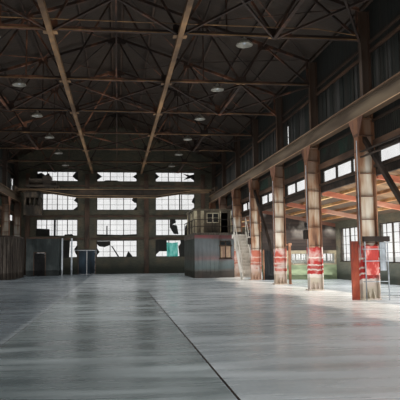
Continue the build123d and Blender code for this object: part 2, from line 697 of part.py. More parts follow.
def trolley():
    """The hoisting trolley on the bridge: a bed on four wheels, a drum and a gear housing."""
    rail_top = BRIDGE_Z + TROLLEY_RAIL_H
    x = (TROLLEY_X - TROLLEY_L / 2, TROLLEY_X + TROLLEY_L / 2)
    half = BRIDGE_SPREAD / 2 + TROLLEY_WHEEL_W / 2 + TRUCK_PLATE
    y = (CRANE_Y - half, CRANE_Y + half)
    bed_z = (rail_top + TROLLEY_WHEEL_R, rail_top + TROLLEY_WHEEL_R + TROLLEY_BED_H)
    bed = block(x, y, bed_z)
    wheels = []
    for x_way in (-1, 1):
        for y_way in (-1, 1):
            spot = Pos(TROLLEY_X + x_way * (TROLLEY_L / 2 - 2 * TROLLEY_WHEEL_R),
                       CRANE_Y + y_way * BRIDGE_SPREAD / 2, rail_top + RUNNING_GAP + TROLLEY_WHEEL_R)
            disc = RegularPolygon(TROLLEY_WHEEL_R, TROLLEY_WHEEL_SIDES)
            wheels.append(spot * Rot(90, 0, 0) * extrude(disc, amount=TROLLEY_WHEEL_W / 2, both=True))
            slot = Box(2 * (TROLLEY_WHEEL_R + WHEEL_ROOM), TROLLEY_WHEEL_W, 2 * TROLLEY_WHEEL_R)
            bed -= spot * Pos(0, 0, WHEEL_ROOM) * slot
    save("trolley_bed", [bed])
    save("trolley_wheels", wheels)
    drum_z = bed_z[1] + DRUM_FLANGE_R
    gearbox_x = TROLLEY_X
    drum_x = gearbox_x - DRUM_L / 2
    drum = Pos(drum_x, CRANE_Y, drum_z) * Rot(0, 90, 0) * Cylinder(DRUM_R, DRUM_L)
    flange = Pos(gearbox_x - DRUM_L + DRUM_FLANGE_T / 2, CRANE_Y, drum_z) * Rot(0, 90, 0) * Cylinder(
        DRUM_FLANGE_R, DRUM_FLANGE_T)
    pedestal_x = gearbox_x - DRUM_L
    pedestal = slab_along_x([
        (CRANE_Y - DRUM_FLANGE_R, bed_z[1]), (CRANE_Y + DRUM_FLANGE_R, bed_z[1]),
        (CRANE_Y + AXLE_R, drum_z + AXLE_R), (CRANE_Y - AXLE_R, drum_z + AXLE_R),
    ], (pedestal_x - DRUM_FLANGE_T, pedestal_x))
    gearbox = block((gearbox_x, gearbox_x + GEARBOX_L), (CRANE_Y - GEARBOX_W, CRANE_Y + GEARBOX_W),
                    (bed_z[1], bed_z[1] + GEARBOX_H))
    motor_at = Pos(gearbox_x + GEARBOX_L + MOTOR_L / 2, CRANE_Y - GEARBOX_W + MOTOR_R, bed_z[1] + MOTOR_R)
    casing = extrude(RegularPolygon(MOTOR_R, MOTOR_SIDES), amount=MOTOR_L / 2, both=True)
    motor = motor_at * Rot(0, 90, 0) * casing
    save("trolley_hoist", [joined([drum, flange]), pedestal, gearbox, motor])


def right_booth():
    """A blue-grey booth under a deck, with a recessed part beside it that has one window."""
    x0, x1 = BOOTH_X
    far = BOOTH_Y + BOOTH_L
    top = FLOOR_T + BOOTH_H
    recess_y = BOOTH_Y + RECESS_D
    edge = COLUMN_INNER_X - COLUMN_FOOT
    plan = Polyline((x0, BOOTH_Y), (x1, BOOTH_Y), (x1, recess_y), (edge, recess_y), (edge, far), (x0, far),
                    close=True)
    inner = Polyline((x0 + BOOTH_WALL, BOOTH_Y + BOOTH_WALL), (x1 - BOOTH_WALL, BOOTH_Y + BOOTH_WALL),
                     (x1 - BOOTH_WALL, recess_y + BOOTH_WALL), (edge - BOOTH_WALL, recess_y + BOOTH_WALL),
                     (edge - BOOTH_WALL, far - BOOTH_WALL), (x0 + BOOTH_WALL, far - BOOTH_WALL), close=True)
    ring = Pos(0, 0, FLOOR_T) * (make_face(plan) - make_face(inner))
    walls = extrude(ring, amount=top - FLOOR_T)
    width, height = RECESS_WINDOW
    middle = (x1 + edge) / 2
    walls -= block((middle - width / 2, middle + width / 2), (recess_y, recess_y + BOOTH_WALL),
                   (FLOOR_T + RECESS_SILL, FLOOR_T + RECESS_SILL + height))
    save("right_booth", [walls])


def booth_deck():
    x0 = BOOTH_X[0]
    far = BOOTH_Y + BOOTH_L
    edge = COLUMN_INNER_X - COLUMN_FOOT
    landing_y = BOOTH_Y - LANDING_REACH
    plan = Polyline((x0, BOOTH_Y), (STAIR_X[0], BOOTH_Y), (STAIR_X[0], landing_y), (LANDING_X, landing_y),
                    (LANDING_X, BOOTH_Y + LANDING_L), (edge, BOOTH_Y + LANDING_L), (edge, far), (x0, far),
                    close=True)
    deck = extrude(Pos(0, 0, FLOOR_T + DECK_TOP - BOOTH_DECK_T) * make_face(plan), amount=BOOTH_DECK_T)
    save("booth_deck", [deck])
    top = FLOOR_T + DECK_TOP
    inset = RAILING_BAR / 2
    front_y = BOOTH_Y + inset
    rail_xs = (x0 + inset, STAIR_X[0] + inset)
    bars = []
    for level in (RAILING_H / 2, RAILING_H):
        z = top + level - inset
        bars.append(bar((rail_xs[0] - inset, front_y, z), (rail_xs[1] + inset, front_y, z), (0, 0, 1),
                        RAILING_BAR, RAILING_BAR))
        bars.append(bar((rail_xs[0], front_y, z), (rail_xs[0], far, z), (0, 0, 1), RAILING_BAR, RAILING_BAR))
        bars.append(bar((rail_xs[1], front_y, z), (rail_xs[1], landing_y, z), (0, 0, 1),
                        RAILING_BAR, RAILING_BAR))
    posts = [(x, front_y) for x in (rail_xs[0], sum(rail_xs) / 2, rail_xs[1])]
    posts.append((rail_xs[1], landing_y + inset))
    post_step = (far - inset - front_y) / RAILING_POSTS
    posts += [(rail_xs[0], front_y + post_step * step) for step in range(1, RAILING_POSTS + 1)]
    for x, y in posts:
        bars.append(block((x - inset, x + inset), (y - inset, y + inset), (top, top + RAILING_H)))
    save("deck_railing", [joined(bars)])


def upper_cabin():
    x0, x1 = CABIN_X
    y0 = BOOTH_Y + CABIN_SETBACK
    y1 = y0 + CABIN_L
    bottom = FLOOR_T + DECK_TOP
    top = bottom + CABIN_H
    shell = block((x0, x1), (y0, y1), (bottom, top)) - block(
        (x0 + BOOTH_WALL, x1 - BOOTH_WALL), (y0 + BOOTH_WALL, y1 - BOOTH_WALL), (bottom, top - BOOTH_WALL))
    sill, height = CABIN_WINDOW
    z = (bottom + sill, bottom + sill + height)
    third = (x1 - x0) / 3
    shell -= block((x0 + third, x0 + 2 * third), (y0, y0 + BOOTH_WALL), z)
    shell -= block((x0, x0 + BOOTH_WALL), (y0 + third, y0 + 2 * third), z)
    door = (x1 - third, x1 - BOOTH_WALL * 3)
    shell -= block(door, (y0, y0 + BOOTH_WALL), (bottom, z[1]))
    save("upper_cabin", [shell])


def stair():
    """A steep straight flight up to the landing: two stringers with rails, and separate treads."""
    rise = DECK_TOP / STAIR_RISERS
    going = STAIR_RUN / (STAIR_RISERS - 1)
    x0, x1 = STAIR_X
    head_y = BOOTH_Y - LANDING_REACH
    foot_y = head_y - STAIR_RUN
    head_z = FLOOR_T + DECK_TOP
    deep = STAIR_STRINGER_H
    outline = [
        (foot_y - deep, FLOOR_T), (foot_y + deep, FLOOR_T), (head_y, head_z - BOOTH_DECK_T - deep),
        (head_y, head_z), (head_y - deep, head_z), (foot_y - deep, FLOOR_T + deep),
    ]
    frames = []
    for x in ((x0, x0 + STAIR_STRINGER), (x1 - STAIR_STRINGER, x1)):
        middle, half = sum(x) / 2, RAILING_BAR / 2
        low = (foot_y - deep / 2, FLOOR_T + deep + RAILING_H)
        high = (head_y - deep / 2, head_z + RAILING_H)
        shapes = [slab_along_x(outline, x)]
        shapes.append(bar((middle, *low), (middle, *high), (1, 0, 0), RAILING_BAR, RAILING_BAR))
        for share in RAIL_POST_SHARES:
            y = low[0] + (high[0] - low[0]) * share
            z = low[1] + (high[1] - low[1]) * share
            shapes.append(block((middle - half, middle + half), (y - half, y + half), (z - RAILING_H, z)))
        frames.append(joined(shapes))
    save("stair_frame", frames)
    treads = []
    for step in range(1, STAIR_RISERS):
        z = FLOOR_T + step * rise
        y = foot_y + (step - 1) * going - deep / 2
        treads.append(block((x0 + STAIR_STRINGER, x1 - STAIR_STRINGER), (y, y + STAIR_TREAD_D),
                            (z - STAIR_TREAD_T, z)))
    save("stair_treads", treads)


def left_booth():
    x0, x1 = LEFT_BOOTH_X
    top = FLOOR_T + LEFT_BOOTH_H
    front = (LEFT_BOOTH_Y, LEFT_BOOTH_Y + BOOTH_WALL)
    head = FLOOR_T + LEFT_DOOR_H
    save("left_booth_front", [
        block((x0, LEFT_DOOR_X[0]), front, (FLOOR_T, top)),
        block((LEFT_DOOR_X[1], x1), front, (FLOOR_T, top)),
    ])
    save("left_booth_lintel", [block(LEFT_DOOR_X, front, (head, top))])
    save("left_booth_sides", [
        block((x0, x0 + BOOTH_WALL), (front[1], HALF), (FLOOR_T, top)),
        block((x1 - BOOTH_WALL, x1), (front[1], HALF), (FLOOR_T, top)),
    ])
    save("left_booth_roof", [block((x0, x1), (LEFT_BOOTH_Y, HALF), (top, top + LEFT_ROOF_T))])
    z = (FLOOR_T + LEAF_CLEAR, head - LEAF_CLEAR)
    width = LEFT_DOOR_X[1] - LEFT_DOOR_X[0] - 2 * LEAF_CLEAR + HINGE_SETBACK
    save("booth_door", [door_leaf(LEFT_DOOR_X[0] + LEAF_CLEAR, LEFT_BOOTH_Y, 1, width, LEFT_LEAF_T, z)])


def left_store():
    """The low boarded store by the left column line: three walls under a flat top."""
    outer_x = -COLUMN_INNER_X + COLUMN_FOOT
    y1 = LEFT_BOOTH_Y - STORE_GAP
    y0 = y1 - STORE_L
    top = FLOOR_T + STORE_H
    save("store_walls", [
        block((STORE_X - STORE_WALL, STORE_X), (y0, y1), (FLOOR_T, top)),
        block((outer_x, STORE_X - STORE_WALL), (y0, y0 + STORE_WALL), (FLOOR_T, top)),
        block((outer_x, STORE_X - STORE_WALL), (y1 - STORE_WALL, y1), (FLOOR_T, top)),
    ])
    save("store_top", [block((outer_x, STORE_X), (y0, y1), (top, top + STORE_WALL))])


def posts():
    profile = RegularPolygon(POST_R, POST_SIDES)
    tall = [
        extrude(Pos(x, LEFT_BOOTH_Y + POST_R * 4, FLOOR_T) * profile, amount=POST_TOP)
        for x in POST_X
    ]
    save("pale_posts", tall)
    y = frame_y(GUARD_BAYS)
    x = COLUMN_INNER_X - COLUMN_FOOT
    save("guard_post", [
        block((x - GUARD_W, x), (y - GUARD_D / 2, y + GUARD_D / 2), (FLOOR_T, FLOOR_T + GUARD_H)),
    ])


def lamps():
    """Round lamps on short stems under the trusses' bottom line."""
    top = CHORD_Z - CHORD / 2
    shade_top = top - LAMP_DROP
    shade = extrude(Plane(origin=(0, 0, shade_top - LAMP_H)) * RegularPolygon(LAMP_R, LAMP_SIDES),
                    amount=LAMP_H, taper=LAMP_TAPER)
    stem = Pos(0, 0, shade_top + LAMP_DROP / 2) * Box(2 * LAMP_STEM_R, 2 * LAMP_STEM_R, LAMP_DROP)
    one = joined([shade, stem])
    save("lamps", [Pos(x, frame_y(line), 0) * one for x in LAMP_X for line in range(1, BAYS)])


floor()
end_walls()
side_walls()
glazing()
roofs()
purlins()
trusses()
chord_plane()
columns()
column_bracing()
runway()
aisle_frames()
aisle_partition()
far_doors()
crane_bridge()
crane_trucks()
crane_cab()
trolley()
right_booth()
booth_deck()
upper_cabin()
stair()
left_booth()
left_store()
posts()
lamps()
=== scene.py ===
"""Looks of the crane hall: finishes, sashes, boards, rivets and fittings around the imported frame.

Lengths are metres of the model, which is half the real size: x across the hall, y towards the far
gable, z up from the ground.
"""
import json
import math
import random
from itertools import product

import bmesh
import bpy
from mathutils import Matrix, Vector


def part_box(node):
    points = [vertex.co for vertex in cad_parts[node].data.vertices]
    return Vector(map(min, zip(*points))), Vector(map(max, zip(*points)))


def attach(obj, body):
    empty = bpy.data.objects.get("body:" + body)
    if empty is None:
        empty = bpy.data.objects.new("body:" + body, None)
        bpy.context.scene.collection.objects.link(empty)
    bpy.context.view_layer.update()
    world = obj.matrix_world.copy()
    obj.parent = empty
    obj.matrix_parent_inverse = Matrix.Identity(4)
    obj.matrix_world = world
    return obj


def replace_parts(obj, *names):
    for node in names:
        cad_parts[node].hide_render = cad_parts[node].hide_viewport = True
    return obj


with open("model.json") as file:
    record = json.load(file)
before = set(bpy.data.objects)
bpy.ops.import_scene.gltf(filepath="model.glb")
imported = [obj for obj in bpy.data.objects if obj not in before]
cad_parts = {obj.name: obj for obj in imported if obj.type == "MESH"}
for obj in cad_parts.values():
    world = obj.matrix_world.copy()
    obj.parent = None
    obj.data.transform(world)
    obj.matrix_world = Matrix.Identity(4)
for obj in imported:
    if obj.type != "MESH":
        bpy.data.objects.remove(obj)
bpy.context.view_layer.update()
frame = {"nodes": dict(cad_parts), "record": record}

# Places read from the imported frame
HALF_WIDTH, WALL_END, FLOOR_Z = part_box("floor_slab")[1]
UPPER_OUT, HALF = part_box("upper_walls")[1].xy
COLUMN_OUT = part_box("columns")[1].x
RUNWAY_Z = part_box("runway_girders")[0].z
RUNWAY_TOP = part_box("runway_girders")[1].z
RUNWAY_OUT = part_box("runway_girders")[1].x
CHORD_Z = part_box("chord_struts")[1].z
OUTER_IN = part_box("aisle_rafters")[1].x
AISLE_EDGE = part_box("aisle_roofs")[1].x
EAVE_EDGE, ROOF_END, APEX_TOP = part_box("nave_roof_right")[1]
DOORWAY_X = (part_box("far_door_left")[0].x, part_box("far_door_right")[1].x)
DOORWAY_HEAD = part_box("far_door_left")[1].z + 0.02
END_PLANE = (HALF + WALL_END) / 2
SIDE_PLANE = (COLUMN_OUT + UPPER_OUT) / 2
OUTER_PLANE = (OUTER_IN + HALF_WIDTH) / 2

# Sizes repeated from the model's own driving dimensions
BAYS = 10
BAY = 2 * HALF / BAYS
ROOF_SLOPE = 1.0 / 3.0
DECK_T = 0.05
PURLIN_H = 0.10
CHORD = 0.07
SASH_W = 1.985
SASH_PITCH = 2.9
SASH_ROWS = ((0.81, 0.835), (1.86, 0.82), (3.125, 0.825), (4.55, 0.5))
BAND_MARGIN = 0.2
LOW_BAND = (2.55, 0.33)
HIGH_BAND = (3.9, 0.73)
AISLE_SASH_W = 2.3
AISLE_SASH = (0.6, 1.15)
AISLE_DECK_T = 0.05
AISLE_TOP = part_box("aisle_roofs")[1].z
AISLE_FALL = AISLE_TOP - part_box("aisle_roofs")[0].z - AISLE_DECK_T
AISLE_SLOPE = AISLE_FALL / (AISLE_EDGE - UPPER_OUT)
COLUMN_IN = 4.6
COLUMN_PLATE = 0.02
COLUMN_HALF_D = 0.09
RUNWAY_X = 4.675
RUNWAY_FLANGE = 0.02
RUNWAY_WEB = 0.007
CHORD_PANEL_X = (1.2, 3.025)
TOP_PANEL_X = (2.1, 3.6)
GUSSET_H = 0.17
GUSSET_T = 0.056

# Window bars
FRAME_W = 0.03
FRAME_DEPTH = 0.025
MULLION_W = 0.036
BAR_W = 0.011
BAR_DEPTH = 0.011

# Pieces that only this script draws
RIVET_R = 0.008
STRAP_T = 0.005
STIFFENER_T = 0.014
ANGLE_T = 0.008
RAIL_T = 0.05
SILL_H = 0.05
LINTEL_H = 0.09
ROD = 0.03
STRIP_T = 0.012
BAND_T = 0.014
TRIM_T = 0.02
FASCIA_H = 0.14
PANE_T = 0.004
LEAF_PLANK_W = 0.09
LEAF_PLANK_T = 0.004
PLANK_GAP = 0.003
HANDLE_R = 0.006
PIPE_R = 0.012
GIRDER_RIVET_PITCH = 0.12
GIRT_H = 0.15
SHEET_RIBS = 36
STIFFENER_Z = (0.62, 1.14, 1.58, 2.02, 2.46, 2.9, 3.2)
END_RAIL_Z = (1.76, 2.86, 4.36)
END_POSTS = ((-4.3, FLOOR_Z), (1.45, FLOOR_Z), (4.3, FLOOR_Z), (-1.45, 1.3))
END_POST_TOP = 5.0
TOP_RAIL_Z = 5.02
TOP_GIRT_Z = (4.83, 4.88)
SHEET_TOP = 3.46
ROOF_RIB_PITCH = 0.26
ROPE_TURNS = 22
ROPE_PITCH = 0.024
SIDE_POST_TOP = 1.2
LAMP_R = 0.16
AISLE_PIER_TOP = 1.98
BRIDGE_SPREAD = 0.45
BRIDGE_TOP = 4.065
BRIDGE_BELLY = ((1.85, 3.745), (3.55, 4.0), (4.5, 4.0))
GEAR_X = -3.45
BOOTH_FRONT_W = 0.93
CROSS_LEAF_X = (5.06, 5.48)
CROSS_LEAF_H = 1.0
TREAD_T = 0.022
TREAD_GOING = 0.11
STAIR_STEPS = 14
END_SASHES = list(product((-1, 0, 1), range(len(SASH_ROWS))))

# The booth's recess window: left, right, sill and head
RECESS_WINDOW = (3.995, 4.445, FLOOR_Z + 0.745, FLOOR_Z + 1.425)

# Where upright boards are gone from the high windows: side of the hall, and from where to where in y
LOST_BOARDS = ((1, -3.275, -3.25), (1, 2.44, 2.49), (-1, 14.3, 14.75), (1, -9.5, -9.4), (-1, 3.8, 3.9))

# The store's pale battens: their share of the way along a wall, and half their width
BATTENS = ((0.03, 0.03), (0.17, 0.015), (0.26, 0.045), (0.41, 0.02), (0.5, 0.05), (0.64, 0.02), (0.74, 0.04),
           (0.86, 0.018), (0.96, 0.035))

# A gutter's outline, across and up from its middle
GUTTER = ((-0.045, 0.045), (-0.045, 0.0), (-0.02, -0.03), (0.02, -0.03), (0.045, 0.0), (0.045, 0.045),
          (0.037, 0.045), (0.037, 0.004), (0.017, -0.022), (-0.017, -0.022), (-0.037, 0.004),
          (-0.037, 0.045))

# Textures that are even, or run in upright streaks
EVEN, STREAKS = (1.0, 1.0, 1.0), (1.0, 1.0, 0.35)

# Where the colours of a ramp lie along a noise's usual range
TIGHT, WIDE, FADED = (0.38, 0.5, 0.64), (0.36, 0.5, 0.64), (0.34, 0.5, 0.66)

# Sizes that the finishes follow
SLAB_X = (-1.08, 0.76)
SLAB_FAR_Y = 0.7
# Painted light: the span across the hall of a pool of sunlight painted on the floor
SUNLIT_FLOOR_X = (3.35, 5.1)
BAND_TOP = 1.1
PARTITION_BELT = (FLOOR_Z + 0.50, FLOOR_Z + 1.0)

# Camera
CAMERA_AT = (0.04, -13.659, 0.931)
CAMERA_LENS = 52.39
CAMERA_PITCH = 5.46
CAMERA_YAW = 6.91
CAMERA_ROLL = -0.53
CAMERA_SHIFT = 0.03

STUDIO_REACH = 150.0
SEED = 7
SIGNS = (-1, 1)
BOX_FACES = ((0, 2, 3, 1), (4, 5, 7, 6), (0, 1, 5, 4), (2, 6, 7, 3), (0, 4, 6, 2), (1, 3, 7, 5))


def about(middle, half):
    """From half below the middle to half above it."""
    return middle - half, middle + half


def spaced(first, last, count):
    """Evenly spaced places from first to last."""
    return [first + (last - first) * step / (count - 1) for step in range(count)]


def circle(centre, across, out, radius, count):
    """Points round a circle in the plane of two directions."""
    turns = [2 * math.pi * step / count for step in range(count)]
    return [Vector(centre) + radius * (Vector(across) * math.cos(turn) + Vector(out) * math.sin(turn))
            for turn in turns]


def skirt(count, start=0):
    """The faces between one ring of points and the next."""
    return [(start + i, start + (i + 1) % count, start + (i + 1) % count + count, start + i + count)
            for i in range(count)]


def linked(name, data):
    """A new object in the scene."""
    item = bpy.data.objects.new(name, data)
    bpy.context.scene.collection.objects.link(item)
    return item


class Piece:
    """The points and faces of one piece, gathered solid by solid."""

    def __init__(self, name):
        self.name, self.points, self.faces = name, [], []

    def add(self, points, faces):
        start = len(self.points)
        self.points += [tuple(point) for point in points]
        self.faces += [tuple(start + index for index in face) for face in faces]

    def box(self, x, y, z):
        """A box from three pairs of places."""
        x, y, z = sorted(x), sorted(y), sorted(z)
        self.add([(a, b, c) for c in z for b in y for a in x], BOX_FACES)

    def twins(self, x, y, z):
        """A box on the right side and its mirror image on the left."""
        self.box(x, y, z)
        self.box([-place for place in x], y, z)

    def strips(self, along, places, half, face, z):
        """A row of upright strips on a face: along is 0 for a row in x, 1 for a row in y."""
        for place in places:
            sides = (about(place, half), face)
            self.box(sides[along], sides[1 - along], z)

    def prism(self, outline, way):
        """A straight prism: its outline, and the vector to its other end."""
        way, count = Vector(way), len(outline)
        points = [Vector(point) for point in outline]
        points += [point + way for point in points]
        self.add(points, skirt(count) + [tuple(range(count)), tuple(range(2 * count - 1, count - 1, -1))])

    def bar(self, start, end, side, width, depth):
        """A straight bar between two points: its width lies along side, its depth across it."""
        start, end = Vector(start), Vector(end)
        along = (end - start).normalized()
        across = (Vector(side) - Vector(side).dot(along) * along).normalized()
        out = along.cross(across)
        corners = [start + across * width * a / 2 + out * depth * b / 2
                   for a, b in ((-1, -1), (1, -1), (1, 1), (-1, 1))]
        self.prism(corners, end - start)

    def tube(self, start, end, radius, sides=8):
        start, end = Vector(start), Vector(end)
        along = (end - start).normalized()
        across = along.orthogonal().normalized()
        self.prism(circle(start, across, along.cross(across), radius, sides), end - start)

    def pipe(self, path, radius, sides=8):
        for start, end in zip(path, path[1:]):
            self.tube(start, end, radius, sides)

    def rivet(self, at, out):
        """A low domed head on a face whose outward direction is out."""
        out, points = Vector(out), []
        across = out.orthogonal().normalized()
        for share, rise in ((1.0, 0.0), (0.6, 0.6)):
            centre = Vector(at) + out * RIVET_R * rise
            points += circle(centre, across, out.cross(across), RIVET_R * share, 6)
        self.add(points, skirt(6) + [tuple(range(6, 12))])

    def lathe(self, centre, profile, sides=24):
        """A turned shape about a vertical line; the profile is (radius, height) from its start."""
        points, last = [], (len(profile) - 1) * sides
        for radius, height in profile:
            points += circle(Vector(centre) + Vector((0, 0, height)), (1, 0, 0), (0, 1, 0), radius, sides)
        faces = [face for start in range(0, last, sides) for face in skirt(sides, start)]
        self.add(points, faces + [tuple(range(sides - 1, -1, -1)), tuple(range(last, last + sides))])

    def place(self, look, slot=None, body="building", bevel=0.0, smooth=False):
        """Make an object that rides on its body. The slot argument is not used."""
        mesh = bpy.data.meshes.new(self.name)
        mesh.from_pydata(self.points, [], self.faces)
        work = bmesh.new()
        work.from_mesh(mesh)
        bmesh.ops.recalc_face_normals(work, faces=work.faces)
        work.to_mesh(mesh)
        work.free()
        piece = linked(self.name, mesh)
        mesh.materials.append(LOOK[look])
        mesh.polygons.foreach_set("use_smooth", [smooth] * len(mesh.polygons))
        if bevel:
            edges = piece.modifiers.new("edges", "BEVEL")
            edges.width, edges.segments, edges.limit_method = bevel, 1, "ANGLE"
        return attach(piece, body)


def linear(code):
    """A screen colour such as 0xff8800, as linear values."""
    steps = [(code >> shift & 255) / 255 for shift in (16, 8, 0)]
    return [step / 12.92 if step <= 0.04045 else ((step + 0.055) / 1.055) ** 2.4 for step in steps] + [1.0]


def infix(operation, swapped=False):
    """What a sign between two values does: a math node of theirs."""
    def make(self, other):
        return self.tree.math(operation, *((other, self) if swapped else (self, other)))
    return make


class Value:
    """What a node gives out. Sums, products and comparisons of values make math nodes."""

    def __init__(self, tree, socket):
        self.tree, self.socket = tree, socket

    def under(self, factor, colour):
        """This colour, covered by another as far as the factor says."""
        return self.tree.mix(factor, self, colour)

    def __abs__(self):
        return self.tree.math("ABSOLUTE", self)

    __add__ = infix("ADD")
    __sub__ = infix("SUBTRACT")
    __rsub__ = infix("SUBTRACT", swapped=True)
    __mul__ = infix("MULTIPLY")
    __truediv__ = infix("DIVIDE")
    __gt__ = infix("GREATER_THAN")
    __lt__ = infix("LESS_THAN")


def held(value):
    """The same value, held between 0 and 1 by its own math node."""
    value.socket.node.use_clamp = True
    return value


class Tree:
    """A node tree that is filled by short calls."""

    def __init__(self, tree):
        self.nodes, self.links = tree.nodes, tree.links
        self.nodes.clear()

    def node(self, kind, *pairs, out=0, **settings):
        """A node with its settings and its (input, value) pairs; gives one of its outputs."""
        node = self.nodes.new("ShaderNode" + kind)
        for name, value in settings.items():
            setattr(node, name, value)
        for name, value in pairs:
            self.put(value, node.inputs[name])
        return Value(self, node.outputs[out]) if node.outputs else None

    def put(self, value, socket):
        """Link a value to an input, or set the input to a number, a list or a colour code."""
        if isinstance(value, Value):
            self.links.new(value.socket, socket)
        else:
            socket.default_value = linear(value) if isinstance(value, int) else value

    def math(self, operation, *values):
        return self.node("Math", *enumerate(values), operation=operation)


class Finish(Tree):
    """A material whose textures all follow the object's own coordinates."""

    def __init__(self, name):
        self.material = bpy.data.materials.new(name)
        self.material.use_nodes = True
        Tree.__init__(self, self.material.node_tree)
        self.place = self.node("TexCoord", out="Object")

    def axis(self, index):
        return self.node("SeparateXYZ", (0, self.place), out=index)

    def noise(self, scale, stretch=EVEN, shift=0.0, detail=4.0):
        place = self.node("Mapping", ("Scale", stretch), ("Location", (shift,) * 3), ("Vector", self.place))
        return self.node("TexNoise", ("Vector", place), ("Scale", scale), ("Detail", detail), out="Fac")

    def ramp(self, factor, positions, colours, smooth=True):
        """Screen colours at their positions along the factor."""
        value = self.node("ValToRGB", ("Fac", factor), out="Color")
        ramp = value.socket.node.color_ramp
        ramp.interpolation = "LINEAR" if smooth else "CONSTANT"
        while len(ramp.elements) < len(positions):
            ramp.elements.new(0.5)
        for element, position, colour in zip(ramp.elements, positions, colours):
            element.position, element.color = position, linear(colour)
        return value

    def mix(self, factor, first, second, blend="MIX"):
        return self.node("Mix", data_type="RGBA", blend_type=blend, out="Result",
                         *(("Factor", factor), ("A", first), ("B", second)))

    def spread(self, factor, low, high):
        """The factor's usual range, carried to low and high."""
        return self.node("MapRange", ("Value", factor), ("From Min", 0.3), ("From Max", 0.7),
                         ("To Min", low), ("To Max", high))

    def between(self, value, low, high, soft=0.01):
        """1 where the value lies between low and high, else 0, with a soft edge."""
        return held((value - low) / soft) * held((high - value) / soft)

    def patches(self, factor, low, high):
        """Where the factor is high: 0 to 1."""
        return held(self.spread(factor, low, high) * 1.0)

    def courses(self, across, up, length, height, gap, colours, gap_colour):
        """Bricks or boards laid in rows: their colour, and a height for the bump."""
        place = self.node("CombineXYZ", (0, across), (1, up))
        colour = self.node("TexBrick", ("Vector", place), ("Color1", colours[0]), ("Color2", colours[1]),
                           ("Mortar", gap_colour), ("Scale", 1.0), ("Mortar Size", gap),
                           ("Mortar Smooth", 0.2), ("Brick Width", length), ("Row Height", height),
                           out="Color")
        return colour, 1.0 - Value(self, colour.socket.node.outputs["Fac"])

    def cover(self, shader):
        """Give the material a surface and hand it over."""
        self.node("OutputMaterial", ("Surface", shader))
        return self.material

    def coat(self, colour, roughness, height, strength, metal=0.0):
        """The usual shader; roughness is a value, or a factor with its two ends."""
        if isinstance(roughness, tuple):
            roughness = self.spread(*roughness)
        bump = self.node("Bump", ("Strength", strength), ("Distance", 0.004), ("Height", height))
        return self.node("BsdfPrincipled", ("Base Color", colour), ("Roughness", roughness),
                         ("Metallic", metal), ("Normal", bump))

    def done(self, *parts, **more):
        return self.cover(self.coat(*parts, **more))

    def layers(self, share, first, second):
        """Two shaders over each other: share is how much shows of the second."""
        return self.node("MixShader", (0, share), (1, first), (2, second))


def worn(name, scale, stretch, positions, colours, rough=(0.55, 0.85), strength=0.25, metal=0.0):
    """Old paint or steel whose colour wanders between its colours in streaks, with fine grit."""
    finish = Finish(name)
    fine = finish.noise(scale * 8, stretch, shift=3.0, detail=6.0)
    blend = finish.noise(scale, stretch) * 0.68 + fine * 0.32
    return finish.done(finish.ramp(blend, positions, colours), (fine, *rough), fine, strength, metal)


def boards(name, across, up, width, colours, gap_colour):
    """Planks: across runs along them and up counts them; each is x, y, z, or wall for x plus y."""
    finish = Finish(name)
    places = {letter: finish.axis(index) for index, letter in enumerate("xyz")}
    places["wall"] = places["x"] + places["y"]
    stretch = [0.8 if letter == across else 9.0 for letter in "xyz"]
    colour, height = finish.courses(places[across], places[up], 4.0, width, 0.006, colours, gap_colour)
    grain = finish.noise(3.0, stretch, detail=5.0)
    soot = finish.spread(finish.noise(0.5, detail=3.0), 0.0, 0.45)
    colour = finish.mix(0.55, colour, finish.ramp(grain, (0.35, 0.65), (0x3c3732, 0xafaaa0)), "OVERLAY")
    return finish.done(colour.under(soot, gap_colour), (grain, 0.65, 0.9), height + grain * 0.3, 0.4)


def concrete_finish():
    """A trowelled floor worn to a dull gloss: a slab let into it, a darker left, a pool of painted sunlight
    at right.
    """
    finish = Finish("floor_concrete")
    x, y = finish.axis(0), finish.axis(1)
    streaks = finish.noise(1.6, (0.35, 2.2, 1.0), detail=6.0)
    stains, grit = finish.noise(0.45, shift=5.0), finish.noise(30.0, detail=3.0)
    blend = streaks * 0.5 + stains * 0.5
    pale = finish.ramp(blend, WIDE, (0x7e878a, 0x9da5a8, 0xbcc3c6))
    dark = finish.ramp(blend, WIDE, (0x5c6566, 0x7a8485, 0xb0babc))
    dim = finish.ramp(blend, WIDE, (0x586268, 0x6c767c, 0x889196))
    let_in = finish.between(x, *SLAB_X, 0.02) * finish.between(y, -HALF, SLAB_FAR_Y, 0.02)
    left = finish.between(x, -HALF_WIDTH, SLAB_X[0], 0.1)
    # Painted light: a near-white strip along the right column line stands for sunlight on the floor
    sunlit_patch = finish.between(x + (stains - 0.5) * 2.5, *SUNLIT_FLOOR_X, 0.3) * finish.spread(streaks, 0.8, 1.0)
    near = held((-6.5 - y) / 3.0) * finish.between(x, -HALF_WIDTH, 0.3, 1.6)
    colour = pale.under(left, dim).under(let_in, dark).under(near * 0.75, 0x485458)
    colour = colour.under(sunlit_patch, 0xecece6).under(finish.spread(grit, 0.0, 0.14), 0x4e5050)
    rough = finish.spread(streaks, 0.14, 0.34) + stains * 0.08
    return finish.done(colour, rough, grit * 0.2 + streaks, 0.12)


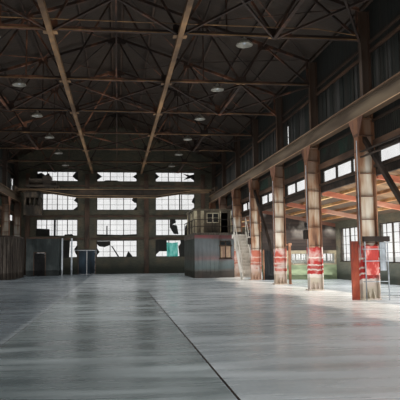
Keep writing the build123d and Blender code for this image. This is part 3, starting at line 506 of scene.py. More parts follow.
def brick_finish():
    """Old brick under thin dark paint and soot, paler where the paint has gone."""
    finish = Finish("sooty_brick")
    x, y, z = (finish.axis(index) for index in range(3))
    colour, height = finish.courses(x + y, z, 0.11, 0.038, 0.004, (0x545040, 0x3c3c32), 0x585448)
    soot = finish.noise(0.7, (1.0, 1.0, 0.5), detail=5.0)
    bare = finish.noise(1.7, shift=9.0, detail=5.0)
    grit = finish.noise(40.0, detail=3.0)
    colour = colour.under(finish.spread(soot, 0.0, 0.55), 0x282c26)
    colour = colour.under(finish.patches(bare, -0.6, 0.5), 0x685842)
    colour = colour.under(held((1.0 - z) / 0.7) * 0.7, 0x1e2824)
    outside = finish.math("MAXIMUM", abs(y) > END_PLANE, abs(x) > OUTER_PLANE)
    weathered = finish.ramp(bare, (0.34, 0.5, 0.64), (0x584034, 0x745544, 0x987a64))
    colour = colour.under(outside * finish.spread(soot, 0.3, 0.65), weathered)
    return finish.done(colour, (grit, 0.7, 0.92), height + grit * 0.35, 0.5)


def column_finish():
    """Columns: rusty flanges, cream plates between them, a red and white band, a limewashed foot, with
    painted shade above the girders and over the left-hand row.
    """
    finish = Finish("column_paint")
    x, z = finish.axis(0), finish.axis(2)
    patch = finish.noise(0.9, (1.0, 1.0, 0.6), shift=2.0, detail=5.0)
    streak = finish.noise(7.0, (1.0, 1.0, 0.12), detail=5.0)
    plates = finish.ramp(patch * 0.5 + streak * 0.5, (0.38, 0.44, 0.49, 0.55, 0.64),
                         (0x684632, 0x9e7658, 0xc0ac94, 0xd4ccbc, 0xdedad0))
    rust = finish.ramp(streak, (0.36, 0.5, 0.66), (0x4a3024, 0x7c543c, 0xb08468))
    core = finish.between(abs(x), COLUMN_IN + COLUMN_PLATE, COLUMN_OUT - 1.6 * COLUMN_PLATE)
    wander = (streak - 0.5) * 0.16
    white, red = 0xd8d2c8, 0xb22e2a
    band = finish.ramp((z + wander) / BAND_TOP, (0.0, 0.34, 0.42, 0.5, 0.53, 0.6, 0.63, 0.76, 0.79),
                       (0xc4bcaa, white, red, white, red, white, red, white, red), smooth=False)
    flakes = finish.patches(finish.noise(4.0, shift=7.0, detail=6.0), -0.9, 1.1)
    band = band.under(flakes, 0xcec0b6)
    band = band.under(held(finish.axis(1) / 6.0) * 0.6, finish.mix(flakes, 0xb27c60, 0xd6cac0))
    upper = rust.under(core, plates).under(held((z + wander - 2.55) / 0.5) * 0.8, 0x704a32)
    # Painted shade: the columns turn nearly black above the runway girders, up in the dim roof space
    upper = upper.under((z > RUNWAY_TOP) * 0.85, 0x2c241e)
    # Painted shade: the left-hand row of columns is darker than the right-hand row
    colour = upper.under(z + wander < BAND_TOP, band).under((x < 0.0) * 0.6, 0x2a221c)
    return finish.done(colour, (streak, 0.5, 0.8), streak, 0.3)


def rafter_finish():
    """Salmon paint on the aisle steel, darker in the bays farther in."""
    finish = Finish("salmon_steel")
    streak = finish.noise(1.8, (0.5, 1.0, 1.0), detail=6.0)
    colour = finish.ramp(streak, TIGHT, (0x96543e, 0xc0765a, 0xd8aa90))
    colour = colour.under(held((finish.axis(1) - 1.0) / 5.0) * 0.85, 0x54382c)
    return finish.done(colour, (streak, 0.55, 0.85), streak, 0.25)


def girder_finish():
    """The runway girder: grey-brown web, a painted highlight of pale tan on its flange edges, painted shade
    over the left girder.
    """
    finish = Finish("girder_steel")
    z = finish.axis(2)
    streak = finish.noise(1.5, (0.4, 0.4, 3.0), detail=6.0)
    web = finish.ramp(streak, TIGHT, (0x4e4236, 0x625444, 0x746450))
    # Painted highlight: pale tan on the lower flange edge and, fainter, on the top flange edge
    lips = finish.ramp(streak, (0.38, 0.6), (0x846248, 0xb89472))
    lit_lower_edge = finish.between(z, RUNWAY_Z + 0.003, RUNWAY_Z + RUNWAY_FLANGE + 0.002, 0.002)
    high = finish.between(z, RUNWAY_TOP - RUNWAY_FLANGE - 0.002, RUNWAY_TOP + 0.01, 0.002)
    colour = web.under(lit_lower_edge, lips).under(high * 0.35, lips).under(z < RUNWAY_Z + 0.002, 0x544232)
    # Painted shade: the left girder is darker than the right
    colour = colour.under((finish.axis(0) < 0.0) * 0.6, 0x28201a)
    return finish.done(colour, (streak, 0.5, 0.8), streak, 0.2, metal=0.1)


def booth_finish():
    """Blue-grey boards with a faded red fascia, a dusty pink belt and a pale teal foot, and painted shade on
    the side that faces the nave.
    """
    finish = Finish("booth_paint")
    streak = finish.noise(5.0, (1.0, 1.0, 0.3), detail=6.0)
    smudge = finish.noise(1.3, shift=4.0, detail=5.0)
    zones = finish.ramp((finish.axis(2) + (smudge - 0.5) * 0.14) / 1.75,
                        (0.0, 0.2, 0.26, 0.4, 0.46, 0.54, 0.66, 0.88, 0.93),
                        (0x564a42, 0x58504a, 0x586868, 0x687070, 0x7a5e5e, 0x626161, 0x686d71, 0x606768,
                         0x763838))
    colour = zones.under(finish.spread(streak, 0.0, 0.45), 0x4e5456)
    colour = colour.under(finish.patches(smudge, -0.4, 0.5), 0x3a3c38)
    # Painted shade: the booth's side towards the nave is darkened
    side = finish.axis(0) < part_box("right_booth")[0].x + 0.004
    return finish.done(colour.under(side * 0.75, 0x32362c), (streak, 0.55, 0.85), streak, 0.3)


def partition_finish():
    """The aisle's cross wall: a green foot, a cream window belt, weathered boards above."""
    finish = Finish("partition_paint")
    z = finish.axis(2)
    plank, height = finish.courses(finish.axis(0), z, 3.0, 0.11, 0.006, (0x3c3029, 0x28211d), 0x181412)
    streak = finish.noise(4.0, (0.5, 1.0, 1.5), detail=6.0)
    green = finish.ramp(streak, (0.35, 0.65), (0x4a563e, 0x768264))
    cream = finish.ramp(streak, (0.35, 0.65), (0x54483a, 0x968c72))
    pale = finish.patches(finish.noise(1.3, shift=6.0, detail=5.0), -0.8, 0.8) * held((z - 1.45) / 0.3)
    colour = cream.under(z < PARTITION_BELT[0], green)
    colour = colour.under(z > PARTITION_BELT[1], plank.under(pale, 0xa69e92))
    return finish.done(colour, (streak, 0.6, 0.85), height, 0.3)


def aisle_deck_finish():
    """Boards of the aisle roof: tan below in the near bays, darker farther in and on the outside, with
    patches of soot.
    """
    finish = Finish("aisle_deck")
    x, y = finish.axis(0), finish.axis(1)
    colour, height = finish.courses(x, y, 4.0, 0.12, 0.006, (0x947452, 0x6e543c), 0x3a2c21)
    soot = finish.noise(0.8)
    level = finish.axis(2) + abs(x) * AISLE_SLOPE
    outside = level > AISLE_TOP + UPPER_OUT * AISLE_SLOPE - AISLE_DECK_T / 2
    colour = colour.under(held((y + 1.0) / 2.5) * 0.85, 0x382e26).under(outside, 0x3e342c)
    colour = colour.under(finish.spread(soot, 0.0, 0.4), 0x3a2e24)
    return finish.done(colour, (soot, 0.65, 0.9), height, 0.4)


def glass_finish():
    """Dusty glass: light and sky pass through it, grime and a soft sheen stay on it."""
    finish = Finish("dusty_glass")
    grime = finish.noise(2.2, (1.0, 1.0, 0.6), detail=6.0)
    colour = finish.ramp(grime, (0.35, 0.7), (0xa8aaa0, 0xd2d4cd))
    sheen = finish.node("BsdfGlossy", ("Roughness", 0.08))
    clear = finish.layers(0.05, finish.node("BsdfTransparent"), sheen)
    dusty = finish.coat(colour, (grime, 0.35, 0.7), grime, 0.1)
    return finish.cover(finish.layers(finish.spread(grime, 0.02, 0.12), clear, dusty))


def teal_finish():
    """A teal plastic sheet that the daylight shines through."""
    finish = Finish("teal_sheet")
    crease = finish.noise(6.0, (1.0, 1.0, 0.4))
    colour = finish.ramp(crease, (0.35, 0.65), (0x4abeb2, 0xc4f0ec))
    clear = finish.node("BsdfTransparent", ("Color", colour))
    return finish.cover(finish.layers(0.3, clear, finish.coat(colour, 0.4, crease, 0.3)))


# Paint and steel: the streaks' scale and stretch, the ramp, and what differs from worn()'s own values
WORN = {
    "roof_timber": (3.0, (1, 0.2, 1), (0.38, 0.64), (0x221b16, 0x423227)),
    "end_rails": (3.0, STREAKS, (0.38, 0.64), (0x322820, 0x543e30)),
    "truss_steel": (0.7, EVEN, (0.4, 0.52, 0.6, 0.68), (0x1e1714, 0x30231c, 0x603e2c, 0x865c46),
                    {"metal": 0.1}),
    "strut_steel": (1.4, (1, 0.5, 1), TIGHT, (0x4a3828, 0x685038, 0x8c6c4a), {"metal": 0.1}),
    "dark_steel": (3.0, STREAKS, (0.38, 0.64), (0x1e1b19, 0x42362e), {"metal": 0.2}),
    "rail_steel": (3.0, (1, 0.2, 1), (0.38, 0.64), (0x423830, 0x807466),
                   {"rough": (0.35, 0.6), "metal": 0.6}),
    "aisle_steel": (1.2, (1, 0.5, 1), TIGHT, (0x70482c, 0xa47648, 0xccac78)),
    "blue_paint": (2.5, STREAKS, WIDE, (0x1a242a, 0x243440, 0x364a58)),
    # The crane's dark steel is partly painted shade: the bridge girders' webs are coloured as if in shadow
    "crane_steel": (1.5, (0.5, 1, 1), WIDE, (0x26221c, 0x3c3228, 0x544232), {"metal": 0.1}),
    # Painted highlight: tan for the crane girders' flange lips, as if lit
    "crane_lit_lips": (1.5, (0.3, 1, 1), WIDE, (0x68523a, 0x8a7052, 0xac9270)),
    "cab_paint": (3.0, STREAKS, WIDE, (0x1e1e1a, 0x363028, 0x625444)),
    "cabin_boards": (2.2, (1, 1, 0.4), WIDE, (0x2e2a22, 0x524a3c, 0x7c705e)),
    "left_boards": (2.2, (1, 1, 0.4), WIDE, (0x1e2625, 0x2e3636, 0x484e4c)),
    "corrugated": (0.8, (1, 1, 0.6), (0.4, 0.5, 0.58, 0.68), (0x201e1a, 0x282a23, 0x1e342a, 0x423a2e)),
    "girts": (2.0, (1, 0.3, 1), TIGHT, (0x2c201a, 0x443226, 0x624836)),
    "brackets": (2.0, STREAKS, TIGHT, (0x462e24, 0x644434, 0x8a604a)),
    "straps": (4.0, EVEN, TIGHT, (0x3a2a22, 0x5c4030, 0x967054)),
    "warning_red": (5.0, STREAKS, (0.36, 0.48, 0.64), (0x9c2c26, 0xb23830, 0xdeb0a4)),
    "tan_board": (4.0, STREAKS, WIDE, (0x765c4c, 0x967a66, 0xa89274)),
    "cream_paint": (3.0, STREAKS, FADED, (0x786c56, 0xb6ac90, 0xd0c8b0)),
    "post_paint": (4.0, STREAKS, WIDE, (0x623e2c, 0x8e6044, 0xb4886a)),
    "pale_battens": (1.6, (1, 1, 0.3), WIDE, (0x241f1b, 0x3c352e, 0x5e564d)),
    # The stair's pale paint is brightened further as painted sunlight
    "stair_steel": (4.0, STREAKS, FADED, (0xb0aa9e, 0xd6d1c6, 0xe4e0d8)),
    # Painted shade: the risers are darker than the treads, as in the shadow under each nosing
    "stair_risers_shaded": (4.0, STREAKS, FADED, (0x9e988c, 0xccc6ba, 0xe0dbd2)),
    # Near-black, partly painted shade: the dark leaves stand in for the gloom of dark doorways
    "dark_door": (3.0, STREAKS, (0.36, 0.64), (0x0e0f10, 0x1e1f1f)),
    "pale_paint": (3.0, STREAKS, FADED, (0x6c7276, 0x9ca4aa, 0xbec4c8)),
    "red_paint": (4.0, STREAKS, WIDE, (0x682e22, 0x96402c, 0xb45c40)),
    "lamp_metal": (14.0, EVEN, (0.35, 0.65), (0x5c5a52, 0x969286), {"rough": (0.3, 0.5), "strength": 0.1}),
    "reflector": (14.0, EVEN, (0.35, 0.65), (0x686760, 0x828078), {"rough": (0.25, 0.45), "strength": 0.1}),
    "studio_pale": (0.2, EVEN, (0.3, 0.7), (0xd6d6d4, 0xdededc), {"rough": (0.85, 0.95), "strength": 0.02}),
}

# Planks: what runs along them and what counts them, their width, two colours and the gaps' colour
PLANKS = {
    "boards": ("z", "wall", 0.13, (0x302e2a, 0x262c2a), 0x141413),
    # The roof boards' dark brown is partly their paint, partly painted shade of the dim roof space
    "roof_deck": ("x", "y", 0.12, (0x40342b, 0x362d25), 0x261f1a),
    "grey_boards": ("z", "wall", 0.05, (0x4e4e4e, 0x3e3c38), 0x1e1e1d),
    "deck_boards": ("y", "x", 0.1, (0x686056, 0x544e46), 0x26221e),
    "store_boards": ("z", "wall", 0.14, (0x4e4238, 0x38302a), 0x181412),
}

# Materials that the frame has a name for already
NAMES = {"blue_paint": "blue_door", "lamp_metal": "lamp_enamel", "reflector": "lamp_reflector",
         "boards": "wall_boards", "roof_deck": "roof_boards"}

LOOK = {
    "concrete": concrete_finish(), "brick": brick_finish(), "glass": glass_finish(),
    "column_paint": column_finish(), "runway_steel": girder_finish(), "salmon_steel": rafter_finish(),
    "green_boards": partition_finish(), "aisle_deck": aisle_deck_finish(), "booth_paint": booth_finish(),
    "teal_sheet": teal_finish(),
}
LOOK.update((name, boards(NAMES.get(name, name), *row)) for name, row in PLANKS.items())
LOOK.update((name, worn(NAMES.get(name, name), *row[:4], **dict(*row[4:]))) for name, row in WORN.items())

# Nodes that look unlike the rest of their slot
OWN_LOOK = {
    "aisle_rafters": "salmon_steel", "upper_cabin": "cabin_boards", "left_booth_front": "left_boards",
    "left_booth_lintel": "left_boards", "left_booth_sides": "left_boards", "left_booth_roof": "left_boards",
    "runway_brackets": "brackets", "aisle_roofs": "aisle_deck", "door_trims": "end_rails",
}


def dress_frame():
    """Give every node of the frame the finish of its slot, or its own."""
    for row in frame["record"]["subparts"]:
        node = frame["nodes"][row["node"]]
        node.data.materials.clear()
        node.data.materials.append(LOOK[OWN_LOOK.get(row["node"], row["material_slot"])])


def frame_y(line):
    """Where a frame line stands; half numbers lie in the middle of a bay."""
    return (line - BAYS / 2) * BAY


def lines():
    return [frame_y(line) for line in range(1, BAYS)]


def bays():
    return [frame_y(bay + 0.5) for bay in range(BAYS)]


def deck_under(x):
    """Height of the nave deck's underside at x."""
    slope = math.sqrt(1 + ROOF_SLOPE ** 2)
    return APEX_TOP - DECK_T * slope - abs(x) * ROOF_SLOPE


def sash(piece, along, span, z, plane, units, panes, rows):
    """One window in the wall plane: a frame, mullions between its units, thin bars in each."""
    def strip(across, levels, depth):
        sides = (across, about(plane, depth))
        piece.box(sides[along], sides[1 - along], levels)

    (left, right), (low, high) = span, z
    for across in ((left, left + FRAME_W), (right - FRAME_W, right)):
        strip(across, z, FRAME_DEPTH)
    for levels in ((low, low + FRAME_W), (high - FRAME_W, high)):
        strip(span, levels, FRAME_DEPTH)
    unit = (right - left) / units
    for index in range(1, units):
        strip(about(left + unit * index, MULLION_W / 2), z, FRAME_DEPTH)
    for index in range(units * panes):
        if index % panes:
            strip(about(left + unit * index / panes, BAR_W / 2), z, BAR_DEPTH)
    for index in range(1, rows):
        strip(span, about(low + (high - low) * index / rows, BAR_W / 2), BAR_DEPTH)


def end_sash_place(column, row):
    """The span across and the heights of one end-wall window."""
    sill, height = SASH_ROWS[row]
    return about(column * SASH_PITCH, SASH_W / 2), (FLOOR_Z + sill, FLOOR_Z + sill + height)


def window_frames():
    ends, sides, outer = Piece("end_sashes"), Piece("upper_sashes"), Piece("aisle_sashes")
    for wall in SIGNS:
        for column, row in END_SASHES:
            span, z = end_sash_place(column, row)
            sash(ends, 0, span, z, wall * END_PLANE, 4 if column == -1 else 3, 2, 3 if row < 3 else 2)
        for middle in bays():
            for (sill, height), panes, rows in ((LOW_BAND, 1, 1), (HIGH_BAND, 2, 2)):
                z = (FLOOR_Z + sill, FLOOR_Z + sill + height)
                sash(sides, 1, about(middle, BAY / 2 - BAND_MARGIN), z, wall * SIDE_PLANE, 3, panes, rows)
            z = (FLOOR_Z + AISLE_SASH[0], FLOOR_Z + sum(AISLE_SASH))
            sash(outer, 1, about(middle, AISLE_SASH_W / 2), z, wall * OUTER_PLANE, 3, 2, 4)
    for piece in (ends, sides, outer):
        piece.place("dark_steel")


# Dark boards and torn panes in the end windows: (column, row) and outlines in shares of the window
TORN = {
    (-1, 3): (((0, 0), (0.36, 0), (0.33, 0.4), (0.29, 0.82), (0.2, 0.6), (0.1, 0.86), (0, 0.7)), ((1, 0.1),
        (0.94, 0.2), (0.86, 0.5), (0.93, 0.9), (1, 0.95))),
    (0, 3): (((0, 0.9), (0.05, 0.75), (0.13, 0.5), (0.06, 0.3), (0, 0.15)), ((0.15, 0), (0.22, 0.14),
        (0.5, 0.12), (0.58, 0)), ((1, 0.8), (0.89, 0.5), (1, 0.25))),
    (1, 3): (((0, 0.9), (0.1, 0.55), (0, 0.2)), ((1, 0.1), (0.9, 0.4), (0.72, 0.22), (0.82, 0.55),
        (0.7, 0.85), (0.88, 0.7), (1, 0.8))),
    (-1, 2): (((0, 0.75), (0.08, 0.7), (0.11, 0.45), (0.06, 0.3), (0, 0.3)), ((1, 0.9), (0.94, 0.7),
        (0.9, 0.58), (1, 0.4)), ((1, 0.25), (0.87, 0), (1, 0))),
    (0, 2): (((1, 0.85), (0.9, 0.75), (0.87, 0.6), (0.94, 0.45), (1, 0.42)), ((1, 0.25), (0.9, 0), (1, 0))),
    (1, 2): (((1, 0.85), (0.95, 0.7), (0.92, 0.5), (1, 0.36)), ((1, 0.2), (0.88, 0), (1, 0)), ((0.6, 0),
        (0.63, 0), (0.63, 1), (0.6, 1))),
    (-1, 1): (((0, 0), (0.33, 0), (0.32, 0.42), (0, 0.46)), ((0.42, 0), (0.47, 0), (0.47, 1), (0.42, 1)),
        ((0.66, 0), (0.7, 0.1), (0.86, 0.12), (0.92, 0))),
    (0, 1): (((0.24, 0), (0.27, 0), (0.27, 0.6), (0.24, 0.6)), ((0, 0), (1, 0), (1, 0.1), (0.6, 0.06),
        (0, 0.1))),
    (1, 1): (((0.36, 1), (0.36, 0.5), (0.46, 0.1), (0.58, 0.08), (0.54, 0.62), (0.42, 0.66), (0.52, 0.8),
        (0.5, 1)), ((0.74, 0), (0.75, 0.55), (0.84, 0.85), (0.92, 0.8), (0.92, 0.2), (0.86, 0.3),
        (0.84, 0))),
    (-1, 0): (((1, 0.75), (0.92, 0.5), (0.95, 0.25), (1, 0.1)), ((0.55, 0), (0.8, 0), (0.82, 1), (0.55, 1))),
    (0, 0): (((0, 0.95), (0.34, 0.95), (0.33, 0.72), (0.2, 0.6), (0.07, 0.64), (0, 0.8)), ((0, 0.58),
        (0.08, 0.32), (0, 0.08)), ((0.36, 0.66), (0.39, 0.66), (0.56, 0.04), (0.52, 0.04)), ((0.72, 0),
        (0.78, 0.36), (0.84, 0.2), (0.9, 0))),
    (1, 0): (((0, 1), (0, 0.1), (0.1, 0.34), (0.28, 0.34), (0.28, 1)), ((0.6, 0), (1, 0), (1, 1), (0.62, 1),
        (0.63, 0.8), (0.57, 0.6))),
}
TEAL_OUTLINE = ((0.28, 0), (0.56, 0), (0.56, 0.86), (0.42, 0.81), (0.28, 0.86))
TORN_T = 0.012


def window_boards():
    """Boards and torn sheets that darken parts of the end windows, and one teal sheet."""
    dark, teal = Piece("window_boards"), Piece("teal_sheet")
    plane = END_PLANE - FRAME_DEPTH - TORN_T

    def cut(window, outline, wall=1):
        """The outline's points on one window, from shares of its width and height."""
        (left, right), (low, high) = end_sash_place(*window)
        width, height = right - left, high - low
        return [(wall * (left + width * u), wall * plane, low + height * v) for u, v in outline]

    for window, outlines in TORN.items():
        for outline, wall in product(outlines, (1, -1)):
            dark.prism(cut(window, outline, wall), (0, -wall * TORN_T, 0))
    teal.prism(cut((1, 0), TEAL_OUTLINE), (0, -TORN_T / 2, 0))
    dark.place("boards")
    teal.place("teal_sheet", "glass")


def strip_boards():
    """Upright boards nailed over the high windows, with thin slits of light and a few lost ones."""
    dark, grey, rng = Piece("strip_boards"), Piece("strip_boards_grey"), random.Random(SEED)
    low, high = FLOOR_Z + HIGH_BAND[0] - 0.1, FLOOR_Z + sum(HIGH_BAND) + 0.09
    for side in SIGNS:
        for middle in bays():
            y, stop = about(middle, BAY / 2 - 0.12)
            while y < stop:
                width = min(rng.uniform(0.06, 0.13), stop - y)
                thick = rng.choice((0.012, 0.018, 0.026))
                drop = rng.uniform(0.0, 0.05)
                lost = any(side == where and y < after and y + width > before
                           for where, before, after in LOST_BOARDS)
                piece = grey if rng.random() < 0.35 else dark
                if not lost:
                    piece.box((side * COLUMN_OUT, side * (COLUMN_OUT - thick)), (y, y + width),
                              (low - drop, high + rng.uniform(0.0, 0.03)))
                y += width + rng.choice((0.0, 0.001, 0.002, 0.003))
    dark.place("boards")
    grey.place("grey_boards", "boards")


def wall_rails():
    """Girts that the upper boards and sheets are fixed to, and the sheets' ribs below the girder."""
    rails, girts, sheets = Piece("wall_rails"), Piece("wall_girts"), Piece("wall_sheets")
    low, high = FLOOR_Z + sum(LOW_BAND) + GIRT_H, SHEET_TOP
    face = (COLUMN_OUT - RAIL_T, COLUMN_OUT)
    for middle in bays():
        y = about(middle, BAY / 2 - 0.1)
        for z in (FLOOR_Z + LOW_BAND[0] - 0.05, high, TOP_RAIL_Z):
            rails.twins(face, y, (z, z + RAIL_T))
        girts.twins(face, y, (low - GIRT_H + 0.02, low))
        girts.twins((COLUMN_OUT - 0.06, COLUMN_OUT), y, TOP_GIRT_Z)
        pitch = (y[1] - y[0]) / SHEET_RIBS
        for step, side in product(range(SHEET_RIBS), SIGNS):
            outline = [(side * (COLUMN_OUT - depth), y[0] + pitch * (step + share), low)
                       for depth, share in ((0, 0), (0.02, 0.2), (0.02, 0.5), (0, 0.7))]
            sheets.prism(outline, (0, 0, high - low))
    rails.place("roof_timber", "boards")
    girts.place("girts", "boards")
    sheets.place("corrugated", "boards")


def column_lines():
    inset = COLUMN_HALF_D + 0.04
    return [inset - HALF] + lines() + [HALF - inset]


def column_plates():
    """Stiffeners in the columns' pockets, straps over their faces, and their base gussets."""
    painted, dark = Piece("column_plates"), Piece("column_straps")
    inner, outer = COLUMN_IN + COLUMN_PLATE, COLUMN_OUT - COLUMN_PLATE
    web, half, foot = COLUMN_PLATE / 2, COLUMN_HALF_D, FLOOR_Z + 0.025
    for y in column_lines():
        for z in STIFFENER_Z:
            piece = painted if z < BAND_TOP else dark
            for way in SIGNS:
                piece.twins((inner, outer), (y + way * web, y + way * (half - 0.004)), (z, z + STIFFENER_T))
            piece.twins((COLUMN_IN - STRAP_T, COLUMN_IN), about(y, half), (z - 0.02, z + 0.034))
        for way, x, side in product(SIGNS, (inner + 0.1, outer - 0.1), SIGNS):
            outline = [(side * x, y + way * web, foot), (side * x, y + way * (half + 0.03), foot),
                       (side * x, y + way * web, foot + 0.2)]
            painted.prism(outline, (side * STIFFENER_T, 0, 0))
    painted.place("column_paint", bevel=0.0015)
    dark.place("straps", "column_paint", bevel=0.0015)


def rivets():
    """Rivet heads on the columns' straps, the girders' flanges and the trusses' plates."""
    column, girder, truss = Piece("column_rivets"), Piece("girder_rivets"), Piece("truss_rivets")
    plates = [(x, CHORD_Z + GUSSET_H / 2) for x in CHORD_PANEL_X]
    plates += [(x, deck_under(x) - PURLIN_H - GUSSET_H / 2) for x in TOP_PANEL_X]
    for side, y, z, step in product(SIGNS, column_lines(), STIFFENER_Z, (-0.065, -0.022, 0.022, 0.065)):
        column.rivet((side * (COLUMN_IN - STRAP_T), y + step, z + STIFFENER_T / 2), (-side, 0, 0))
    rows = (RUNWAY_Z + RUNWAY_FLANGE + 0.022, RUNWAY_TOP - RUNWAY_FLANGE - 0.022)
    for side, step, z in product(SIGNS, range(int(2 * HALF / GIRDER_RIVET_PITCH)), rows):
        y = (step + 0.5) * GIRDER_RIVET_PITCH - HALF
        girder.rivet((side * (RUNWAY_X - RUNWAY_WEB - ANGLE_T), y, z), (-side, 0, 0))
    grid = product((-0.1, -0.05, 0.0, 0.05, 0.1), (-0.055, 0.055), SIGNS)
    for y, side, (x, z), (across, up, way) in product(lines(), SIGNS, plates, grid):
        truss.rivet((side * x + across, y + way * GUSSET_T / 2, z + up), (0, way, 0))
    column.place("column_paint")
    girder.place("runway_steel")
    truss.place("truss_steel")


def girder_plates():
    """The runway girders' stiffeners, the angles between their webs and flanges, and the rail clips."""
    piece, clips = Piece("girder_plates"), Piece("rail_clips")
    low, high = RUNWAY_Z + RUNWAY_FLANGE, RUNWAY_TOP - RUNWAY_FLANGE
    reach = RUNWAY_OUT - RUNWAY_X - 0.006

    def span(way, *reaches):
        return [RUNWAY_X + way * reach for reach in reaches]

    for way in SIGNS:
        for reached, tall in ((RUNWAY_WEB + ANGLE_T, 0.045), (0.05, ANGLE_T)):
            for z in ((low, low + tall), (high - tall, high)):
                piece.twins(span(way, RUNWAY_WEB, reached), (-HALF, HALF), z)
        for step in range(4 * BAYS if way > 0 else 0):
            y = (step + 0.5) * BAY / 4 - HALF
            piece.twins(span(way, RUNWAY_WEB, reach), about(y, 0.006), (low, high))
        for step in range(6 * BAYS):
            y = (step + 0.5) * BAY / 6 - HALF
            clips.twins(span(way, 0.015, 0.045), about(y, 0.02), (RUNWAY_TOP, RUNWAY_TOP + 0.012))
    piece.place("runway_steel")
    clips.place("rail_steel")


def roof_rods():
    """Thin diagonal rods under the purlins, upright ties and bridging between the trusses."""
    rods = Piece("roof_rods")
    seat, upright, inner, eave = PURLIN_H + 0.02, (0, 0, 1), TOP_PANEL_X[0], 4.7
    for bay in range(BAYS):
        near, far = frame_y(bay), frame_y(bay + 1)
        for side in SIGNS:
            for a, b in ((0.2, inner), (inner, 0.2), (inner, eave), (eave, inner)):
                rods.bar((side * a, near, deck_under(a) - seat), (side * b, far, deck_under(b) - seat),
                         upright, 0.014, ROD)
            for x in TOP_PANEL_X:
                top = deck_under(x) - seat - 0.05
                rods.bar((side * x, near, top), (side * x, far, top), upright, 0.05, ROD)
        for a, b in ((near, far), (far, near)):
            rods.bar((0, a, CHORD_Z + 0.05), (0, b, deck_under(0) - seat - 0.1), (1, 0, 0), ROD, ROD)
    for y in lines():
        for x in (0, -inner, inner):
            rods.bar((x, y, CHORD_Z), (x, y, deck_under(x) - seat), (0, 1, 0), ROD, ROD)
    rods.place("truss_steel")


def lamp_shades():
    """Deep round shades with a rolled rim, a bright inside, a housing above and a bulb."""
    shades, bulbs, insides = Piece("lamp_shades"), Piece("lamp_bulbs"), Piece("lamp_reflectors")
    low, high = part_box("lamps")
    radius = LAMP_R
    shade = ((0.03, 0.09), (0.092, 0.076), (0.134, 0.038), (radius - 0.01, 0.01), (radius - 0.004, 0.0),
             (radius, 0.006), (radius - 0.003, 0.016), (0.14, 0.045), (0.1, 0.084), (0.06, 0.1),
             (0.045, 0.105), (0.045, 0.137), (0.018, 0.146), (0.014, high.z - low.z))
    inside = ((0.03, 0.083), (0.09, 0.069), (0.13, 0.032), (radius - 0.013, 0.006), (radius - 0.011, 0.009),
              (0.132, 0.036), (0.091, 0.073), (0.03, 0.087))
    bulb = ((0.012, 0.022), (0.03, 0.03), (0.038, 0.05), (0.03, 0.07), (0.016, 0.08))
    for x, y in product((low.x + radius, high.x - radius), lines()):
        shades.lathe((x, y, low.z), shade)
        insides.lathe((x, y, low.z), inside)
        bulbs.lathe((x, y, low.z), bulb, 12)
    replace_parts(shades.place("lamp_metal"), "lamps")
    bulbs.place("pale_paint", "glass", smooth=True)
    insides.place("reflector", "lamp_metal")


def floor_joints():
    """Dark joints round the slab that was let into the floor, and two pale lines beyond it."""
    joints, marks = Piece("floor_joints"), Piece("floor_lines")
    z = (FLOOR_Z, FLOOR_Z + 0.0015)
    for x, half in zip(SLAB_X, (0.003, 0.008)):
        joints.box(about(x, half), (-HALF, SLAB_FAR_Y), z)
    joints.box(SLAB_X, about(SLAB_FAR_Y, 0.02), z)
    for x in (-0.42, 0.18):
        marks.box(about(x, 0.006), (SLAB_FAR_Y + 0.4, 7.5), z)
    joints.place("dark_steel", "concrete")
    marks.place("pale_paint", "concrete")


def end_wall_details():
    """Inside the end walls: timber rails, posts and a pipe; outside: sills and lintels of the windows."""
    rails, stone, pipe = Piece("end_wall_rails"), Piece("sills"), Piece("wall_pipe")
    stone.box((DOORWAY_X[0] - 0.12, DOORWAY_X[1] + 0.12), about(WALL_END, 0.05),
              (DOORWAY_HEAD, DOORWAY_HEAD + LINTEL_H))
    for wall in SIGNS:
        for z in END_RAIL_Z:
            rails.box((-4.5, 4.5), (wall * HALF, wall * (HALF - RAIL_T)), (z, z + 0.08))
        for x, foot in END_POSTS:
            rails.box(about(x, 0.11), (wall * HALF, wall * (HALF - 0.06)), (foot, END_POST_TOP))
        for column, row in END_SASHES:
            (left, right), (low, high) = end_sash_place(column, row)
            for wider, inward, out, z in ((0.06, 0.06, 0.035, (low - SILL_H, low)),
                                          (0.08, 0.05, 0.012, (high, high + LINTEL_H))):
                y = (wall * (WALL_END - inward), wall * (WALL_END + out))
                stone.box((left - wider, right + wider), y, z)
        low, high = FLOOR_Z + AISLE_SASH[0], FLOOR_Z + sum(AISLE_SASH)
        for middle in bays():
            for out, z in ((0.035, (low - SILL_H, low)), (0.012, (high, high + 0.08))):
                stone.box((wall * (HALF_WIDTH - 0.05), wall * (HALF_WIDTH + out)),
                          about(middle, AISLE_SASH_W / 2 + 0.06), z)
    y = HALF - 0.03
    pipe.pipe([(-2.1, y, 1.24), (-1.0, y, 1.24), (-1.0, y, 1.05)], PIPE_R)
    rails.place("end_rails", "roof_timber", bevel=0.003)
    stone.place("concrete", bevel=0.004)
    pipe.place("pale_paint")


def outside_piers():
    """Brick piers at the frame lines, outside the aisle walls and the end walls."""
    piece = Piece("brick_piers")
    for y in [0.16 - WALL_END] + lines() + [WALL_END - 0.16]:
        piece.twins((HALF_WIDTH, HALF_WIDTH + 0.06), about(y, 0.15), (0.0, AISLE_PIER_TOP))
    for wall in SIGNS:
        y = (wall * WALL_END, wall * (WALL_END + 0.04))
        for x, top in ((-4.35, 5.5), (-1.45, 6.4), (1.45, 6.4), (4.35, 5.5)):
            over_door = wall > 0 and DOORWAY_X[0] < x < DOORWAY_X[1]
            piece.box(about(x, 0.16), y, (DOORWAY_HEAD + LINTEL_H if over_door else 0.0, top))
        piece.twins((HALF_WIDTH - 0.3, HALF_WIDTH), y, (0.0, AISLE_PIER_TOP))
    piece.place("brick", bevel=0.003)


